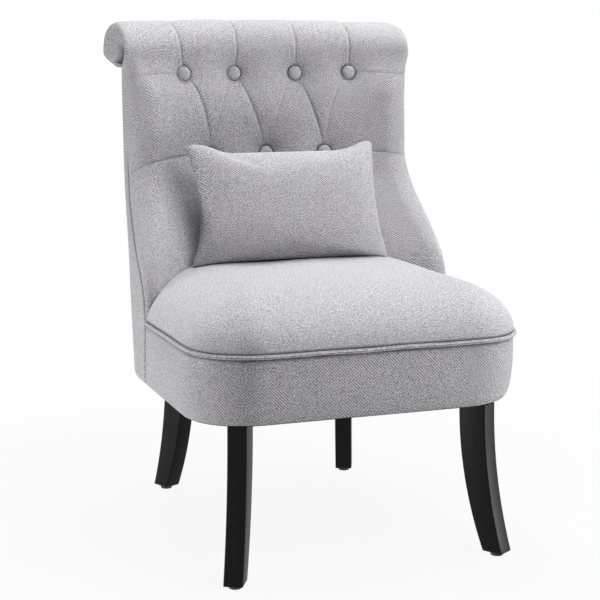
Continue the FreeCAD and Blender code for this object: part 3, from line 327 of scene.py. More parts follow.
def folds(far_end):
    """The folds of the buttoned back as (curve, depth at its start, depth at its end, lap, painted shade
    along its crease). A lap of 1 makes the cloth on the left of the curve's way stand steep over the cloth
    on its right."""
    upper, lower = UPPER_BUTTONS, LOWER_BUTTONS
    made = []

    def fold(start, middle, end, depths, lap, painted_fold_shade):
        made.append((bent(start, middle, end), *depths, lap, painted_fold_shade))

    for side in (-1.0, 1.0):
        inner, outer, low = side * INNER_BUTTON, side * OUTER_BUTTON, side * LOW_BUTTON
        to_right, to_left = (1.0, 0.4) if side < 0 else (0.4, 0.85)
        deep_right = (FOLD_START * to_right, FOLD_END * to_right)
        deep_left = (FOLD_START * to_left, FOLD_END * to_left)
        droop = 0.026 if side < 0 else 0.012
        fold((inner, upper), (inner * 0.45, upper - 0.035), (0.0, lower), deep_right, -0.35, 0.55 * to_right)
        fold((inner, upper), (low * 0.82, upper - 0.045), (low, lower), deep_left, 0.35, 0.60 * to_left)
        fold((outer, upper), (low * 1.04, upper - 0.034), (low, lower), deep_right, -0.35, 0.55 * to_right)
        fold((outer, upper), (side * 0.19, upper + 0.003), (side * FOLD_EDGE, upper - 0.006),
             (0.0045, 0.0012), -0.5 * side, 0.4)
        fold((low, lower), (side * 0.19, lower + 0.006), (side * FOLD_EDGE, lower - droop),
             (0.0045, 0.0020), -0.5 * side, 0.5)
        fold((low, lower), (low * 0.97, lower - 0.06), (low * 0.9, lower - 0.13), (0.004, 0.0), 0.3, 0.3)
    for x, head, lean in ((-OUTER_BUTTON, -0.163, -0.006), (-INNER_BUTTON, -0.056, 0.010),
                          (INNER_BUTTON, 0.049, 0.003), (OUTER_BUTTON, 0.143, 0.006)):
        fold((x, upper), (x + lean, upper + 0.07), (head, far_end), (0.0095, 0.0012), 0.85, 0.5)
    fold((-INNER_BUTTON, upper), (-0.050, upper + 0.02), (-0.043, upper + 0.055), (0.007, 0.0), -0.6, 0.4)
    fold((0.0, lower), (0.002, lower - 0.06), (0.0, lower - 0.13), (0.004, 0.0), 0.3, 0.3)
    return made


def tufting(across, along, far_end):
    """How deep the cover is pulled in, and the painted shade there: each button sinks as exp(-r), each fold
    as a V, steep on its lapped side, with a narrow crease. Where they meet the deeper one wins softly."""
    power = 3.0
    deep = np.zeros_like(across)
    dark = np.zeros_like(across)
    for z, places in BUTTON_ROWS:
        for x in places:
            sink = MIDDLE_SINK if abs(x) <= INNER_BUTTON else OUTER_SINK
            r = np.hypot(across - x, along - z)
            deep += (sink * np.exp(-np.maximum(r - 0.008, 0.0) / 0.018)) ** power
            # Painted shade: a dark ring round each button and a soft darkening beyond it, where the gap's
            # shadow falls.
            past = r - BUTTON_RIM
            ring = 0.5 * line(past, 0.0022) + 0.2 * np.exp(-np.maximum(past, 0.0) / 0.008)
            dark = np.maximum(dark, ring)
    for curve, start, end, lap, painted_fold_shade in folds(far_end):
        gap, side, t = fold_distance(across, along, curve)
        depth = mix(start, end, np.sqrt(t))
        steep = lap * np.clip(side / 2e-5, -1.0, 1.0) * np.where(side * lap > 0, 0.5, 0.9)
        valley = 0.70 * np.exp(-gap / (FOLD_WIDTH * (1 + steep))) + 0.30 * line(gap, FOLD_CREASE)
        fade = 1 - ramp(t, 0.9, 1.0) * (end == 0.0)
        deep += (depth * valley * fade) ** power
        # Painted shade: a thin dark line along each fold's crease.
        dark = np.maximum(dark, painted_fold_shade * line(gap, FOLD_LINE) * fade * (1 - 0.45 * t))
    return deep ** (1.0 / power), dark


class BackRows:
    """The rows of the inside back, up the front and the neck, over the roll as an ellipse and in under
    its rear. The inward pair is the direction into the padding."""

    def __init__(self):
        z_front = joined(span(RING_TOP, FINE_FROM, 58), span(FINE_FROM, ROLL_BASE, 112))
        neck = span(ROLL_BASE, ROLL_AXIS, 15)[1:]
        turn = span(0.0, math.pi, 101)[1:-1]
        under = span(0.0, roll_swell, 15)
        height = chain(z_front, neck)
        front, body = Plan(z_front), Plan(height)
        c, s = np.cos(turn), np.sin(turn)
        none = np.zeros(len(under))
        flare = ramp(height, FLARE_FROM, ROLL_AXIS)
        self.z_front, self.front = z_front, front
        self.front_end, self.neck_end = len(z_front), len(height)
        self.roll_end = self.neck_end + len(turn)
        self.half = chain(
            mix(body.half, ROLL_HALF, ramp(height, WIDEN_FROM, ROLL_AXIS)),
            ROLL_HALF + REAR_FLARE * smooth(-c),
            mix(ROLL_HALF + REAR_FLARE, float(base.half) - UNDER_NARROW, smooth(under / roll_swell)))
        self.round_x = chain(
            mix(body.round, ROLL_ROUND, flare),
            mix(ROLL_ROUND, UNDER_ROUND, np.maximum(-c, 0.0)), none + UNDER_ROUND)
        self.round_in = chain(
            front.round, mix(EDGE_ROUND[1], ROLL_DRAW, ramp(neck, ROLL_BASE, ROLL_AXIS)),
            ROLL_DRAW + TOP_DRAW * s ** 2, none + ROLL_DRAW)
        self.wrap = np.full(len(self.half), WRAP_LEAST)
        self.wrap[:self.front_end] = wrap_reach(z_front)
        self.bow = chain(
            body.bow * (1 - BOW_LOST * flare), (1 - BOW_LOST) * base.bow * np.maximum(c, 0.0), none)
        self.crown = chain(0 * height, ROLL_CROWN * s ** 2, none)
        self.y = chain(
            front.tip + front.bow, 0 * neck + roll_front,
            roll_middle - roll_reach * c, roll_middle + roll_reach * np.cos(under))
        self.z = chain(
            height, ROLL_AXIS + (ROLL_TOP - ROLL_AXIS) * s,
            ROLL_AXIS - (ROLL_AXIS - ROLL_BASE) * np.sin(under) / math.sin(roll_swell))
        self.inward = stacked(chain(0 * height + 1.0, c, -np.cos(under)),
                              chain(0 * height, -s, np.sin(under)))


def eased(points, weight, rounds=60):
    """A grid of points with sharp turns along its rows evened out where the weight is high."""
    for _ in range(rounds):
        middle = 0.5 * (points[:, :-2] + points[:, 2:])
        points[:, 1:-1] += 0.5 * weight[:, 1:-1, None] * (middle - points[:, 1:-1])
    return points


def inside_back():
    """The buttoned front and the roll over it, and where its buttons sit. Each row is a section: a hollow
    arc with a padded round at each end, which draws in by a quarter ellipse and wraps back to the seam."""
    rows = BackRows()
    bend = QUARTER * (1 - span(0.0, 1.0, BEND_COLUMNS) ** 1.4)
    bend = chain(np.full(WRAP_COLUMNS, bend[0]), bend)[:, None]
    beyond = chain(span(1.0, 0.0, WRAP_COLUMNS + 1)[:-1], np.zeros(BEND_COLUMNS))[:, None]
    flat = rows.half - rows.round_x
    middle = span(-1.0, 1.0, FLAT_COLUMNS + 2)[1:-1, None] * flat
    edge_x = flat + rows.round_x * np.sin(bend)
    edge_drop = rows.round_in * (1 - np.cos(bend)) + beyond * rows.wrap
    edge_arc = flat + rows.round_x * bend + beyond * rows.wrap
    x = chain(-edge_x, middle, edge_x[::-1]).T
    drop = chain(edge_drop, 0 * middle, edge_drop[::-1]).T
    arc = chain(-edge_arc, middle, edge_arc[::-1]).T
    flat = flat[:, None]
    inside = np.clip(np.abs(x), 0.0, flat)
    bow = np.maximum(rows.bow, 1e-4)[:, None]
    radius = (flat ** 2 + bow ** 2) / (2.0 * bow)
    sag = radius - np.sqrt(radius ** 2 - inside ** 2)
    along = travelled(stacked(rows.y, rows.z))
    along += ROLL_BASE - along[rows.front_end - 1]
    along[:rows.front_end] = rows.z_front
    along = along[:, None] + np.zeros_like(x)

    deep, dark = tufting(arc, along, along[rows.roll_end - 1, 0])
    rim = from_edge(arc)
    clear = smooth(rim / 0.012)
    rear = slice(rows.roll_end - 20, None)
    deep *= clear
    deep[rear] *= smooth((along[-1, 0] - along[rear]) / 0.04)
    pinch = INSIDE_PINCH * line(rim, SEAM_GROOVE) * sewn(along)
    deep += pinch
    deep += 0.0007 * ripple(arc, along, 0.11, 3)
    # Painted shade: a dark line along the seams, where shade falls in the groove, over the painted shade of
    # folds and buttons.
    dark = np.maximum(dark * clear, SEAM_PAINTED_SHADE * line(rim, SEAM_LINE) * sewn(along))
    y = rows.y[:, None] - sag + rows.inward[:, :1] * drop
    z = rows.z[:, None] - rows.crown[:, None] * (inside / flat) ** 2 + rows.inward[:, 1:] * drop
    points = eased(stacked(x, y, z), line(np.abs(arc) - flat, 0.4 * rows.round_x[:, None]))
    points[..., 1:] += rows.inward[:, None, :] * deep[..., None]
    points[..., 0] -= np.sign(x) * pinch
    seats = [points.reshape(-1, 3)[np.hypot(x - place, along - level).argmin()]
             for level, places in BUTTON_ROWS for place in places]
    climb = lengths(points, 0)
    cloth = stacked(arc, climb - climb[rows.front_end - 1])
    return closed_back(rows, points, cloth, dark), seats


def closed_back(rows, points, cloth, dark):
    """The inside back closed by the roll's gathered ends, a rear wall, a foot and an underside."""
    count, cols = points.shape[:2]
    patches = Patchwork()
    patches.add(points, cloth, dark)
    top = (rows.neck_end + rows.roll_end) // 2
    front_edge = points[rows.front_end - 1:top + 1]
    rear_edge = points[:top - 1:-1]
    ends = []
    for column, sign in ((0, -1.0), (cols - 1, 1.0)):
        # tucked is the painted shade in the tuck of each end.
        end, tucked = roll_end(front_edge[:, column], rear_edge[:, column], sign)
        ends.append(patches.add(end, end[..., 1:], tucked, flip=sign < 0))
    plan = rows.front
    share = span(-1.0, 1.0, WALL_COLUMNS)
    wall_bow = (plan.tip + plan.bow + WALL_DEPTH - plan.seam)[:, None]
    wall = stacked(plan.half[:, None] * share, plan.seam[:, None] + wall_bow * (1 - share ** 2),
                   rows.z_front[:, None])
    wall[:, [0, -1]] = points[:rows.front_end, [0, -1]]
    wall_first = patches.add(wall, wall[..., ::2], flip=True)
    wall_last = wall_first + (rows.front_end - 1) * WALL_COLUMNS
    last = (count - 1) * cols
    left, right = ends
    foot = [*range(cols), *range(wall_first + WALL_COLUMNS - 2, wall_first, -1)]
    under = [*range(wall_last, wall_last + WALL_COLUMNS), *range(right + 1, right + END_COLUMNS - 1),
             *range(last + cols - 1, last - 1, -1), *range(left + END_COLUMNS - 2, left, -1)]
    return weld(patches.piece("inside_back", [foot[::-1], under[::-1]]))


def roll_end(front_edge, rear_edge, sign):
    """The end of the roll, tucked in behind its front edge and gathered in folds that fan out, and the
    painted shade in its tuck."""
    share = (span(0.0, 1.0, END_COLUMNS) ** 1.5)[None, :, None]
    end = mix(front_edge[:, None, :], rear_edge[:, None, :], share)
    y = end[..., 1] - GATHER_Y
    z = end[..., 2] - GATHER_Z
    width = np.linalg.norm(rear_edge - front_edge, axis=1)[:, None]
    front_gap, rear_gap = share[..., 0] * width, (1 - share[..., 0]) * width
    low = 1 - ramp(end[..., 2], 0.725, 0.755)
    tuck = smooth(front_gap / 0.008) * smooth(rear_gap / 0.060) * mix(TUCK_HIGH, TUCK_LOW, low)
    gather = 0.0028 * np.abs(np.sin(np.arctan2(z, y) * 3.2 + 0.3))
    gather *= smooth(front_gap / 0.012) * smooth(rear_gap / 0.012) * smooth(np.hypot(y, z) / 0.02)
    end[..., 0] -= sign * (tuck + gather)
    # Painted shade: darker in the tuck behind the front edge, low on the end, where shade falls.
    return end, 0.85 * (1 - ramp(front_gap, 0.055, 0.085)) * low * smooth(front_gap / 0.004)


# Seat, border, outside back and piping
FOOT_ROUND = 0.012
TURN_UNDER, FOOT_DRAW = 0.022, 0.006
BORDER_TUCK = ((0.3232, 0.0008), (0.3248, 0.0022), (0.326, 0.004))
BORDER_SWELL = 0.0048
DOME_REACH = 0.125
DOME_SWELL = 0.0035
SEAT_BACK_HALF = 0.2405
SEAT_WEAVE = 1.3
PIPING_RADIUS = 0.003
BIAS = 0.7071


class DrumPlan:
    """The drum's plan at heights z and drawn in by an inset: a straight front, round front corners and
    sides that slant out to the rear corners."""

    def __init__(self, z, inset):
        back = Plan(z)
        self.face = DRUM_FRONT + FRONT_LEAN * (BORDER_TOP - z) / (BORDER_TOP - FOOT) + inset
        self.half = DRUM_HALF - inset
        self.corner = DRUM_CORNER - inset
        self.turn_y = self.face + self.corner
        self.rear_half = back.half - inset
        self.rear_y = back.rear - back.corner
        self.seam = FRONT + mix(SEAM_SETBACK[0], DRUM_SEAM_SETBACK, (RING_TOP - z) / (RING_TOP - FOOT))

    def side(self, y):
        """Half width at y on the slanting side."""
        return mix(self.half, self.rear_half, (y - self.turn_y) / (self.rear_y - self.turn_y))

    def front_run(self, end, side_count, corner_count, front_count):
        """Points from the left side at y = end, round the front, to the right side."""
        run = span(0.0, 1.0, side_count)[:, None]
        y_side = mix(end, self.turn_y, run ** 1.7)
        side = stacked(-self.side(y_side), y_side)
        a = span(math.pi, 1.5 * math.pi, corner_count)[:, None]
        middle = self.half - self.corner
        corner = stacked(self.corner * np.cos(a) - middle, self.corner * np.sin(a) + self.turn_y)
        across = span(-1.0, 1.0, front_count)[:, None]
        face = stacked(middle * across, self.face)
        corner = corner[1:]
        return chain(side, corner, face[1:-1], corner[::-1] * MIRROR, side[::-1] * MIRROR)


def turned_foot(top, count):
    """Heights and insets of a cover that is turned under at the drum's foot and rises to a top."""
    a = span(0.0, QUARTER, 8)[1:]
    rise = span(FOOT + FOOT_ROUND, top, count)[1:]
    z = chain(np.full(4, FOOT), FOOT + FOOT_ROUND * (1 - np.cos(a)), rise)
    inset = chain(span(TURN_UNDER, FOOT_DRAW, 4), FOOT_DRAW * (1 - np.sin(a)), 0 * rise)
    return z, inset


def seat_border():
    """The drum's border from seam to seam, swelled by a half sine and tucked in behind the piping."""
    z, inset = turned_foot(RING_TOP - 0.002, 24)
    tuck_z, tuck_inset = zip(*BORDER_TUCK)
    z, inset = np.append(z, tuck_z), np.append(inset, tuck_inset)
    share = np.clip((z - FOOT) / (RING_TOP - FOOT), 0.0, 1.0)
    plan = DrumPlan(z, inset)
    full = DrumPlan(z, inset - BORDER_SWELL * np.sin(math.pi * share ** 0.8) * (share > 0))
    end = plan.seam - 0.0004
    run = plan.front_run(end, 44, 44, 85)
    bulge = full.front_run(end, 44, 44, 85) - run
    run += bulge * smooth((plan.seam - 0.012 - run[..., 1]) / 0.07)[..., None]
    run = np.swapaxes(run, 0, 1)
    level = z[:, None] + 0 * run[..., 0]
    points = chain(run, level[..., None], axis=-1)
    around = lengths(points, 1)
    middle = around.shape[1] // 2
    around -= around[:, middle:middle + 1]
    edge = from_edge(around)
    points[..., 0] -= np.sign(points[..., 0]) * BORDER_PINCH * line(edge, SEAM_GROOVE)
    points[..., 1] += 0.0007 * ripple(around, level * 0.6, 0.12, 11) * np.sin(math.pi * share)[:, None]
    # Painted shade: a dark band just under the piping and a dark line along the seams, where shade falls.
    painted_shade_under_piping = 0.8 * line(np.minimum(level - RING_TOP, 0.0), 0.0024)
    dark = np.maximum(SEAM_PAINTED_SHADE * line(edge, SEAM_LINE), painted_shade_under_piping)
    return thicken(grid_piece("seat_border", points, stacked(around, level), dark))


def dome(t):
    """Height of the seat's quarter ellipse over its foot, as t goes from its outline to its crown."""
    return (CROWN - SEAT_FOOT) * np.sqrt(np.maximum(1 - (1 - t) ** 2, 0.0))


def seat_rise(x, y):
    """Height of the domed seat: a quarter ellipse over the distance from the drum's outline, and a
    slight crown. Also that distance and the outward direction, for the cloth's flat places."""
    top = DrumPlan(np.array(BORDER_TOP), 0.0)
    slope = (top.rear_half - top.half) / (top.rear_y - top.turn_y)
    a = y - top.face
    b = (top.half + slope * (y - top.turn_y) - np.abs(x)) / math.hypot(1.0, slope)
    past_a, past_b = np.maximum(DRUM_CORNER - a, 0.0), np.maximum(DRUM_CORNER - b, 0.0)
    in_corner = (past_a > 0) & (past_b > 0)
    reach = np.hypot(past_a, past_b)
    d = np.where(in_corner, DRUM_CORNER - reach, np.minimum(a, b))
    reach = np.maximum(reach, 1e-9)
    nearest_front = a < b
    out_x = np.where(in_corner, past_b / reach, np.where(nearest_front, 0.0, 1.0)) * np.sign(x)
    out_y = np.where(in_corner, -past_a / reach, np.where(nearest_front, -1.0, -slope))
    z = SEAT_FOOT + dome(np.clip(d / DOME_REACH, 0.0, 1.0))
    z += DOME_SWELL * smooth(d / 0.16) * (1 - (x / 0.26) ** 2)
    return z, np.clip(d, 0.0, None), out_x, out_y


def seat_back_line(x):
    """Where the seat meets the inside back, found by stepping between the two surfaces."""
    y = Plan(np.array(CROWN)).hollow(x)
    for _ in range(8):
        plan = Plan(seat_rise(x, y)[0])
        reach = plan.half - plan.round
        y = plan.hollow(np.clip(x, -reach, reach)) - 0.0006
    return y


def seat_top():
    """The domed seat: straight runs from the drum's outline to the back, lifted to the dome."""
    top = DrumPlan(np.array([BORDER_TOP]), np.array([0.0]))
    end = float(Plan(np.array(RING_TOP)).tip) - 0.0008
    rim = top.front_run(np.array([end]), 44, 44, 84)[:, 0]
    around = travelled(rim)
    part = around / around[-1]
    x_back = mix(-SEAT_BACK_HALF, SEAT_BACK_HALF, smooth(part) * 0.35 + 0.65 * part)
    back = stacked(x_back, seat_back_line(x_back))
    share = 1 - np.cos(span(0.0, QUARTER, 46))
    plan = mix(rim[None], back[None], share[:, None, None])
    z, d, out_x, out_y = seat_rise(plan[..., 0], plan[..., 1])

    t = np.clip(d / DOME_REACH, 0.0, 1.0)
    fine = span(0.0, 1.0, 300) ** 2
    climb = travelled(stacked(DOME_REACH * fine, dome(fine)))
    shift = climb[-1] - np.interp(t, fine, climb) - (1 - t) * DOME_REACH
    cloth = SEAT_WEAVE * (plan + stacked(out_x, out_y) * shift[..., None])
    pucker = np.exp(-d / 0.022) * (1 - np.exp(-d / 0.004))
    z += 0.0008 * pucker * ripple(np.broadcast_to(around, z.shape), d, 0.035, 5)
    z += 0.0009 * smooth(d / 0.04) * ripple(plan[..., 0], plan[..., 1], 0.16, 8)
    points = chain(plan, z[..., None], axis=-1)
    tucked = np.insert(rim * (1 - 0.0035 / DRUM_HALF), 2, SEAT_FOOT - 0.0030, axis=1)
    points = chain(tucked[None], points)
    cloth = chain(cloth[:1] * 1.01, cloth)
    # Painted shade: darker where the seat's cloth tucks in under the piping, where shade falls.
    dark = 0.75 * line(np.maximum(points[..., 2] - SEAT_FOOT - 0.001, 0.0), 0.0018)
    return thicken(grid_piece("seat_top", points, cloth, dark))


def outside_back():
    """The outside back: straight sides, round rear corners and a straight rear with a slight swell."""
    z, inset = turned_foot(ROLL_BASE, 92)
    plan = Plan(z)
    seam = np.where(z < RING_TOP, DrumPlan(z, inset).seam, plan.seam + wrap_reach(z))[:, None]
    half, rear, corner = ((size - inset)[:, None] for size in (plan.half, plan.rear, plan.corner))
    straight, side_end = half - corner, rear - corner
    y_side = mix(seam + 0.0006, side_end, span(0.0, 1.0, 40) ** 1.6)
    x_side = half + 0 * y_side
    a = span(math.pi, QUARTER, 26)[1:]
    x_corner = straight - corner * np.cos(a)
    y_corner = side_end + corner * np.sin(a)
    across = span(-1.0, 1.0, 44)[1:-1]
    x = chain(-x_side, -x_corner, straight * across, x_corner[:, ::-1], x_side, axis=1)
    y = chain(y_side, y_corner, rear + 0 * across, y_corner[:, ::-1], y_side[:, ::-1], axis=1)
    level = z[:, None] + 0 * x
    points = stacked(x, y, level)
    around = lengths(points, 1)
    around -= around[:, -1:] / 2
    edge = from_edge(around)
    points[..., 0] -= np.sign(x) * OUTSIDE_PINCH * line(edge, SEAM_GROOVE) * sewn(level)
    share = np.clip((level - FOOT) / (ROLL_BASE - FOOT), 0.0, 1.0)
    swell = 0.004 * np.sin(math.pi * share) * smooth(edge / 0.15) + 0.0008 * ripple(x, level, 0.2, 21)
    points[..., 1] += np.clip(y - 0.1, 0.0, 0.1) / 0.1 * swell
    points[..., 1] -= 0.003 * line(ROLL_BASE - level, 0.005) * (y > 0.2)
    cloth = stacked(around, lengths(points, 0))
    # Painted shade: a dark line along the seams, where shade falls in the groove.
    dark = SEAM_PAINTED_SHADE * line(edge, SEAM_LINE) * sewn(level)
    return thicken(grid_piece("outside_back", points, cloth, dark, flip=True))


def seat_piping():
    """The piping: a slightly uneven cord along the drum's outline, its cloth cut on the bias."""
    plan = DrumPlan(np.array([BORDER_TOP]), np.array([-0.5 * PIPING_RADIUS]))
    end = float(Plan(np.array(RING_TOP)).tip) + 0.004
    route = plan.front_run(np.array([end]), 60, 70, 120)[:, 0]
    ahead = np.gradient(route, axis=0)
    ahead /= np.linalg.norm(ahead, axis=1)[:, None]
    travel = travelled(route)[:, None]
    a = span(0.0, TURN, 15)
    size = PIPING_RADIUS * (1 + 0.04 * ripple(travel, 0 * travel, 0.05, 31))
    lift = 0.0006 * ripple(travel, 0 * travel, 0.14, 33)
    ring = size * np.cos(a)
    x = route[:, :1] + ahead[:, 1:] * ring
    y = route[:, 1:] - ahead[:, :1] * ring
    points = stacked(x, y, BORDER_TOP + lift + size * np.sin(a))
    girth = PIPING_RADIUS * a
    cloth = BIAS * stacked(girth + travel, girth - travel)
    return weld(grid_piece("seat_piping_cord", points, cloth, more_faces=tube_caps(*x.shape)))


# Buttons
BUTTON_FACE, BUTTON_BACK, BUTTON_BACK_TURN = 0.0052, 0.0028, 0.35 * math.pi
BUTTON_STAND = 0.0029
BUTTON_WEAVE = 1.6


def tuft_buttons(seats):
    """Seven covered buttons: a turned profile with a puffed face, its rim slightly gathered."""
    a = span(-BUTTON_BACK_TURN, QUARTER, 15)
    r = BUTTON_RADIUS * np.cos(a) ** 0.75
    r[-1] = 0.0
    steep = np.sin(np.abs(a))
    rise = np.where(a > 0, BUTTON_FACE * steep ** 1.1, -BUTTON_BACK * steep / math.sin(BUTTON_BACK_TURN))
    turn = span(0.0, TURN, 41)
    gather = 1 + 0.02 * np.cos(turn * 14)[None, :] * line(a + 0.2, 0.4)[:, None]
    patches = Patchwork()
    backs = []
    for x, back, z in seats:
        px = x + r[:, None] * np.cos(turn) * gather
        pz = z + r[:, None] * np.sin(turn) * gather
        py = back - BUTTON_STAND - rise[:, None]
        cloth = BUTTON_WEAVE * stacked(px * 0.8 + pz * 0.6, pz * 0.8 - px * 0.6)
        first = patches.add(stacked(px, py, pz), cloth)
        backs.append(range(first + len(turn) - 2, first - 1, -1))
    return weld(patches.piece("covered_buttons", backs))


# Pillow. An ear's pull is its side, its end and how far it goes across and up.
PILLOW_WIDE, PILLOW_HIGH, PILLOW_THICK = 0.328, 0.195, 0.095
PILLOW_Y, PILLOW_Z = 0.08023, 0.49659
PILLOW_TILT = math.radians(17.0)
PILLOW_CLEAR = 0.0012
LEFT_DRAW, RIGHT_DRAW = 0.0150, 0.0110
TOP_DIP, BOTTOM_DROP = 0.0115, 0.004
EAR_DROP, EAR_ROUND = 0.007, 0.018
EAR_PULLS = ((-1, -1, -0.006, -0.002), (1, 1, -0.004, 0.0), (1, -1, 0.0, -0.002))
SWELL_MOST = 0.005
CLOTH_SETTINGS = {"quality": 6, "mass": 0.3, "tension_stiffness": 25.0, "compression_stiffness": 20.0,
                  "shear_stiffness": 8.0, "bending_stiffness": 0.4, "use_pressure": True,
                  "uniform_pressure_force": 5.0}


def sewn_pillow():
    """Two filled panels joined at a knife edge that draws in between the corners."""
    a = span(-1.0, 1.0, 81)[None, :]
    b = span(-1.0, 1.0, 53)[:, None]
    draw = np.where(a < 0, LEFT_DRAW, RIGHT_DRAW)
    x = a * (0.5 * PILLOW_WIDE - draw * (1 - b ** 2) ** 1.2)
    dip = TOP_DIP * smooth(np.where(a < 0, (1 + a - 0.14) / 0.36, (1 - a) / 0.52))
    z = b * (0.5 * PILLOW_HIGH + np.where(b > 0, -dip, mix(BOTTOM_DROP, EAR_DROP, a ** 4)))
    outer = np.abs(a) * 0.5 * PILLOW_WIDE + np.abs(b) * 0.5 * PILLOW_HIGH
    blunt = np.clip((outer - 0.5 * (PILLOW_WIDE + PILLOW_HIGH)) / EAR_ROUND + 1.0, 0.0, 1.0) ** 2
    x = x - np.sign(a) * 0.3 * EAR_ROUND * blunt
    z = z - np.sign(b) * 0.3 * EAR_ROUND * blunt
    for side, end, dx, dz in EAR_PULLS:
        near = line(a - side, 0.30) * line(b - end, 0.48)
        x = x + dx * near
        z = z + dz * near
    puff = (0.5 * PILLOW_THICK - 0.004) * ((1 - a ** 4) * (1 - np.abs(b) ** 2.6)) ** 0.62
    cloth = stacked(x * 1.06, z * 1.10)
    below, beside = 0.5 * PILLOW_HIGH * (1 + b), 0.5 * PILLOW_WIDE * (1 + a)
    # Painted shadow: a dark line along the pillow's bottom edge and a fainter one along its left edge, where
    # its contact shadow falls.
    dark = np.maximum(0.7 * line(below, 0.007), 0.45 * line(beside, 0.004))
    patches = Patchwork()
    patches.add(stacked(x, -puff, z), cloth, dark)
    patches.add(stacked(x, puff, z), cloth + 0.5, dark, flip=True)
    return weld(patches.piece("pillow"))


def mesh_points(mesh):
    points = np.empty(len(mesh.vertices) * 3, dtype=np.float32)
    mesh.vertices.foreach_get("co", points)
    return points.reshape(-1, 3).astype(float)


def swollen(piece):
    """The pillow's points after a short cloth simulation under pressure, each moved within a limit."""
    start = mesh_points(piece.data)
    cloth = piece.modifiers.new("cloth", "CLOTH")
    for key, value in CLOTH_SETTINGS.items():
        setattr(cloth.settings, key, value)
    cloth.settings.effector_weights.gravity = 0.0
    cloth.collision_settings.use_self_collision = False
    scene = bpy.context.scene
    for step in range(1, 25):
        scene.frame_set(step)
    depsgraph = bpy.context.evaluated_depsgraph_get()
    moved = mesh_points(piece.evaluated_get(depsgraph).data) - start
    piece.modifiers.remove(cloth)
    scene.frame_set(1)
    size = np.linalg.norm(moved, axis=1, keepdims=True)
    return start + moved * np.minimum(1.0, SWELL_MOST / np.maximum(size, 1e-9))


def pillow():
    """The loose pillow: swollen, leaned back and kept clear of seat and back."""
    piece = sewn_pillow()
    points = swollen(piece)
    points *= np.array([PILLOW_WIDE, PILLOW_THICK, PILLOW_HIGH + EAR_DROP]) / np.ptp(points, axis=0)
    points[:, 2] += 0.5 * PILLOW_HIGH - points[:, 2].max()
    c, s = math.cos(PILLOW_TILT), math.sin(PILLOW_TILT)
    x = points[:, 0]
    y = points[:, 1] * c + points[:, 2] * s + PILLOW_Y
    z = points[:, 2] * c - points[:, 1] * s + PILLOW_Z
    y = np.minimum(y, Plan(z).hollow(x) - PILLOW_CLEAR)
    z = np.maximum(z, seat_rise(x, np.minimum(y, 0.1))[0] + PILLOW_CLEAR)
    piece.data.vertices.foreach_set("co", stacked(x, y, z).astype(np.float32).ravel())
    piece.data.update()
    finer = piece.modifiers.new("finer", "SUBSURF")
    finer.levels = 1
    finer.render_levels = 1
    return piece


# Legs, glides and underside. Each leg has its place and the way that it sweeps, in degrees.
LEG_TOP = 0.2252
LEG_PLACES = (("front_left", -0.183, -0.229, -120.0), ("front_right", 0.183, -0.229, -60.0),
              ("rear_left", -0.146, 0.204, 114.0), ("rear_right", 0.146, 0.204, 66.0))
LEG_START, OUTER_SWEEP, INNER_SWEEP = 0.0225, 0.034, 0.046
LEG_HALF = 0.014
LEG_EASE, SOLE_EASE = 0.0022, 0.0016
GLIDE_HIGH, GLIDE_OUT = 0.006, 0.040
GLIDE_PROFILE = ((0.0, 0.0), (0.0076, 0.0), (0.0088, 0.0004), (0.0095, 0.0014),
                 (0.0095, 0.0044), (0.0092, 0.0054), (0.0084, GLIDE_HIGH), (0.0, GLIDE_HIGH))
DUST_INSET, DUST_SAG, DUST_THICK = 0.0075, 0.0035, 0.0006
DUST_MIDDLE = np.array([0.0, -0.01])


def sabre_edge(drop, start, sweep, height):
    """Distance out of a leg's edge: a circle's arc that starts upright at the top."""
    radius = (height ** 2 + sweep ** 2) / (2.0 * sweep)
    return start + radius - np.sqrt(radius ** 2 - drop ** 2)


def sabre_leg(name, x, y, degrees):
    """A leg: a rectangle with eased corners carried down between two arcs, and eased round its sole."""
    height = LEG_TOP - GLIDE_HIGH
    sole = height - SOLE_EASE
    drop = joined(span(0.0, sole, 30), span(sole, height, 4))
    outer = sabre_edge(drop, LEG_START, OUTER_SWEEP, height)
    inner = sabre_edge(drop, -LEG_START, INNER_SWEEP, height)
    past = np.maximum(drop - height + SOLE_EASE, 0.0)
    shrink = (SOLE_EASE - np.sqrt(np.maximum(SOLE_EASE ** 2 - past ** 2, 0.0)))[:, None]
    quarter = span(0.0, QUARTER, 5)
    a = (quarter + QUARTER * np.arange(4)[:, None]).ravel()
    side_out = np.repeat([1, -1, -1, 1], len(quarter))
    side_along = np.repeat([1, 1, -1, -1], len(quarter))
    middle, reach = 0.5 * (outer + inner)[:, None], 0.5 * (outer - inner)[:, None]
    out = middle + side_out * (reach - shrink) + LEG_EASE * (np.cos(a) - side_out)
    aside = (side_along * LEG_HALF + LEG_EASE * (np.sin(a) - side_along)) * (1 - shrink / LEG_HALF)
    turn = math.radians(degrees)
    px = x + out * math.cos(turn) - aside * math.sin(turn)
    py = y + out * math.sin(turn) + aside * math.cos(turn)
    points = stacked(px, py, LEG_TOP - drop[:, None])
    points = chain(points, points[:, :1], axis=1)
    rows, cols = points.shape[:2]
    cloth = stacked(np.arange(cols) * 0.007, LEG_TOP - points[..., 2])
    piece = grid_piece("sabre_leg_" + name, points, cloth, more_faces=tube_caps(rows, cols))
    return crisp(weld(piece), 40.0)


def floor_glides():
    """Four turned glides: a profile with rounded edges spun about the foot of each leg."""
    r, z = np.array(GLIDE_PROFILE).T[..., None]
    turn = span(0.0, TURN, 41)
    patches = Patchwork()
    for _, x, y, degrees in LEG_PLACES:
        a = math.radians(degrees)
        px = x + GLIDE_OUT * math.cos(a) + r * np.cos(turn)
        py = y + GLIDE_OUT * math.sin(a) + r * np.sin(turn)
        patches.add(stacked(px, py, z), stacked(px, py))
    return crisp(weld(patches.piece("turned_glides")), 50.0)


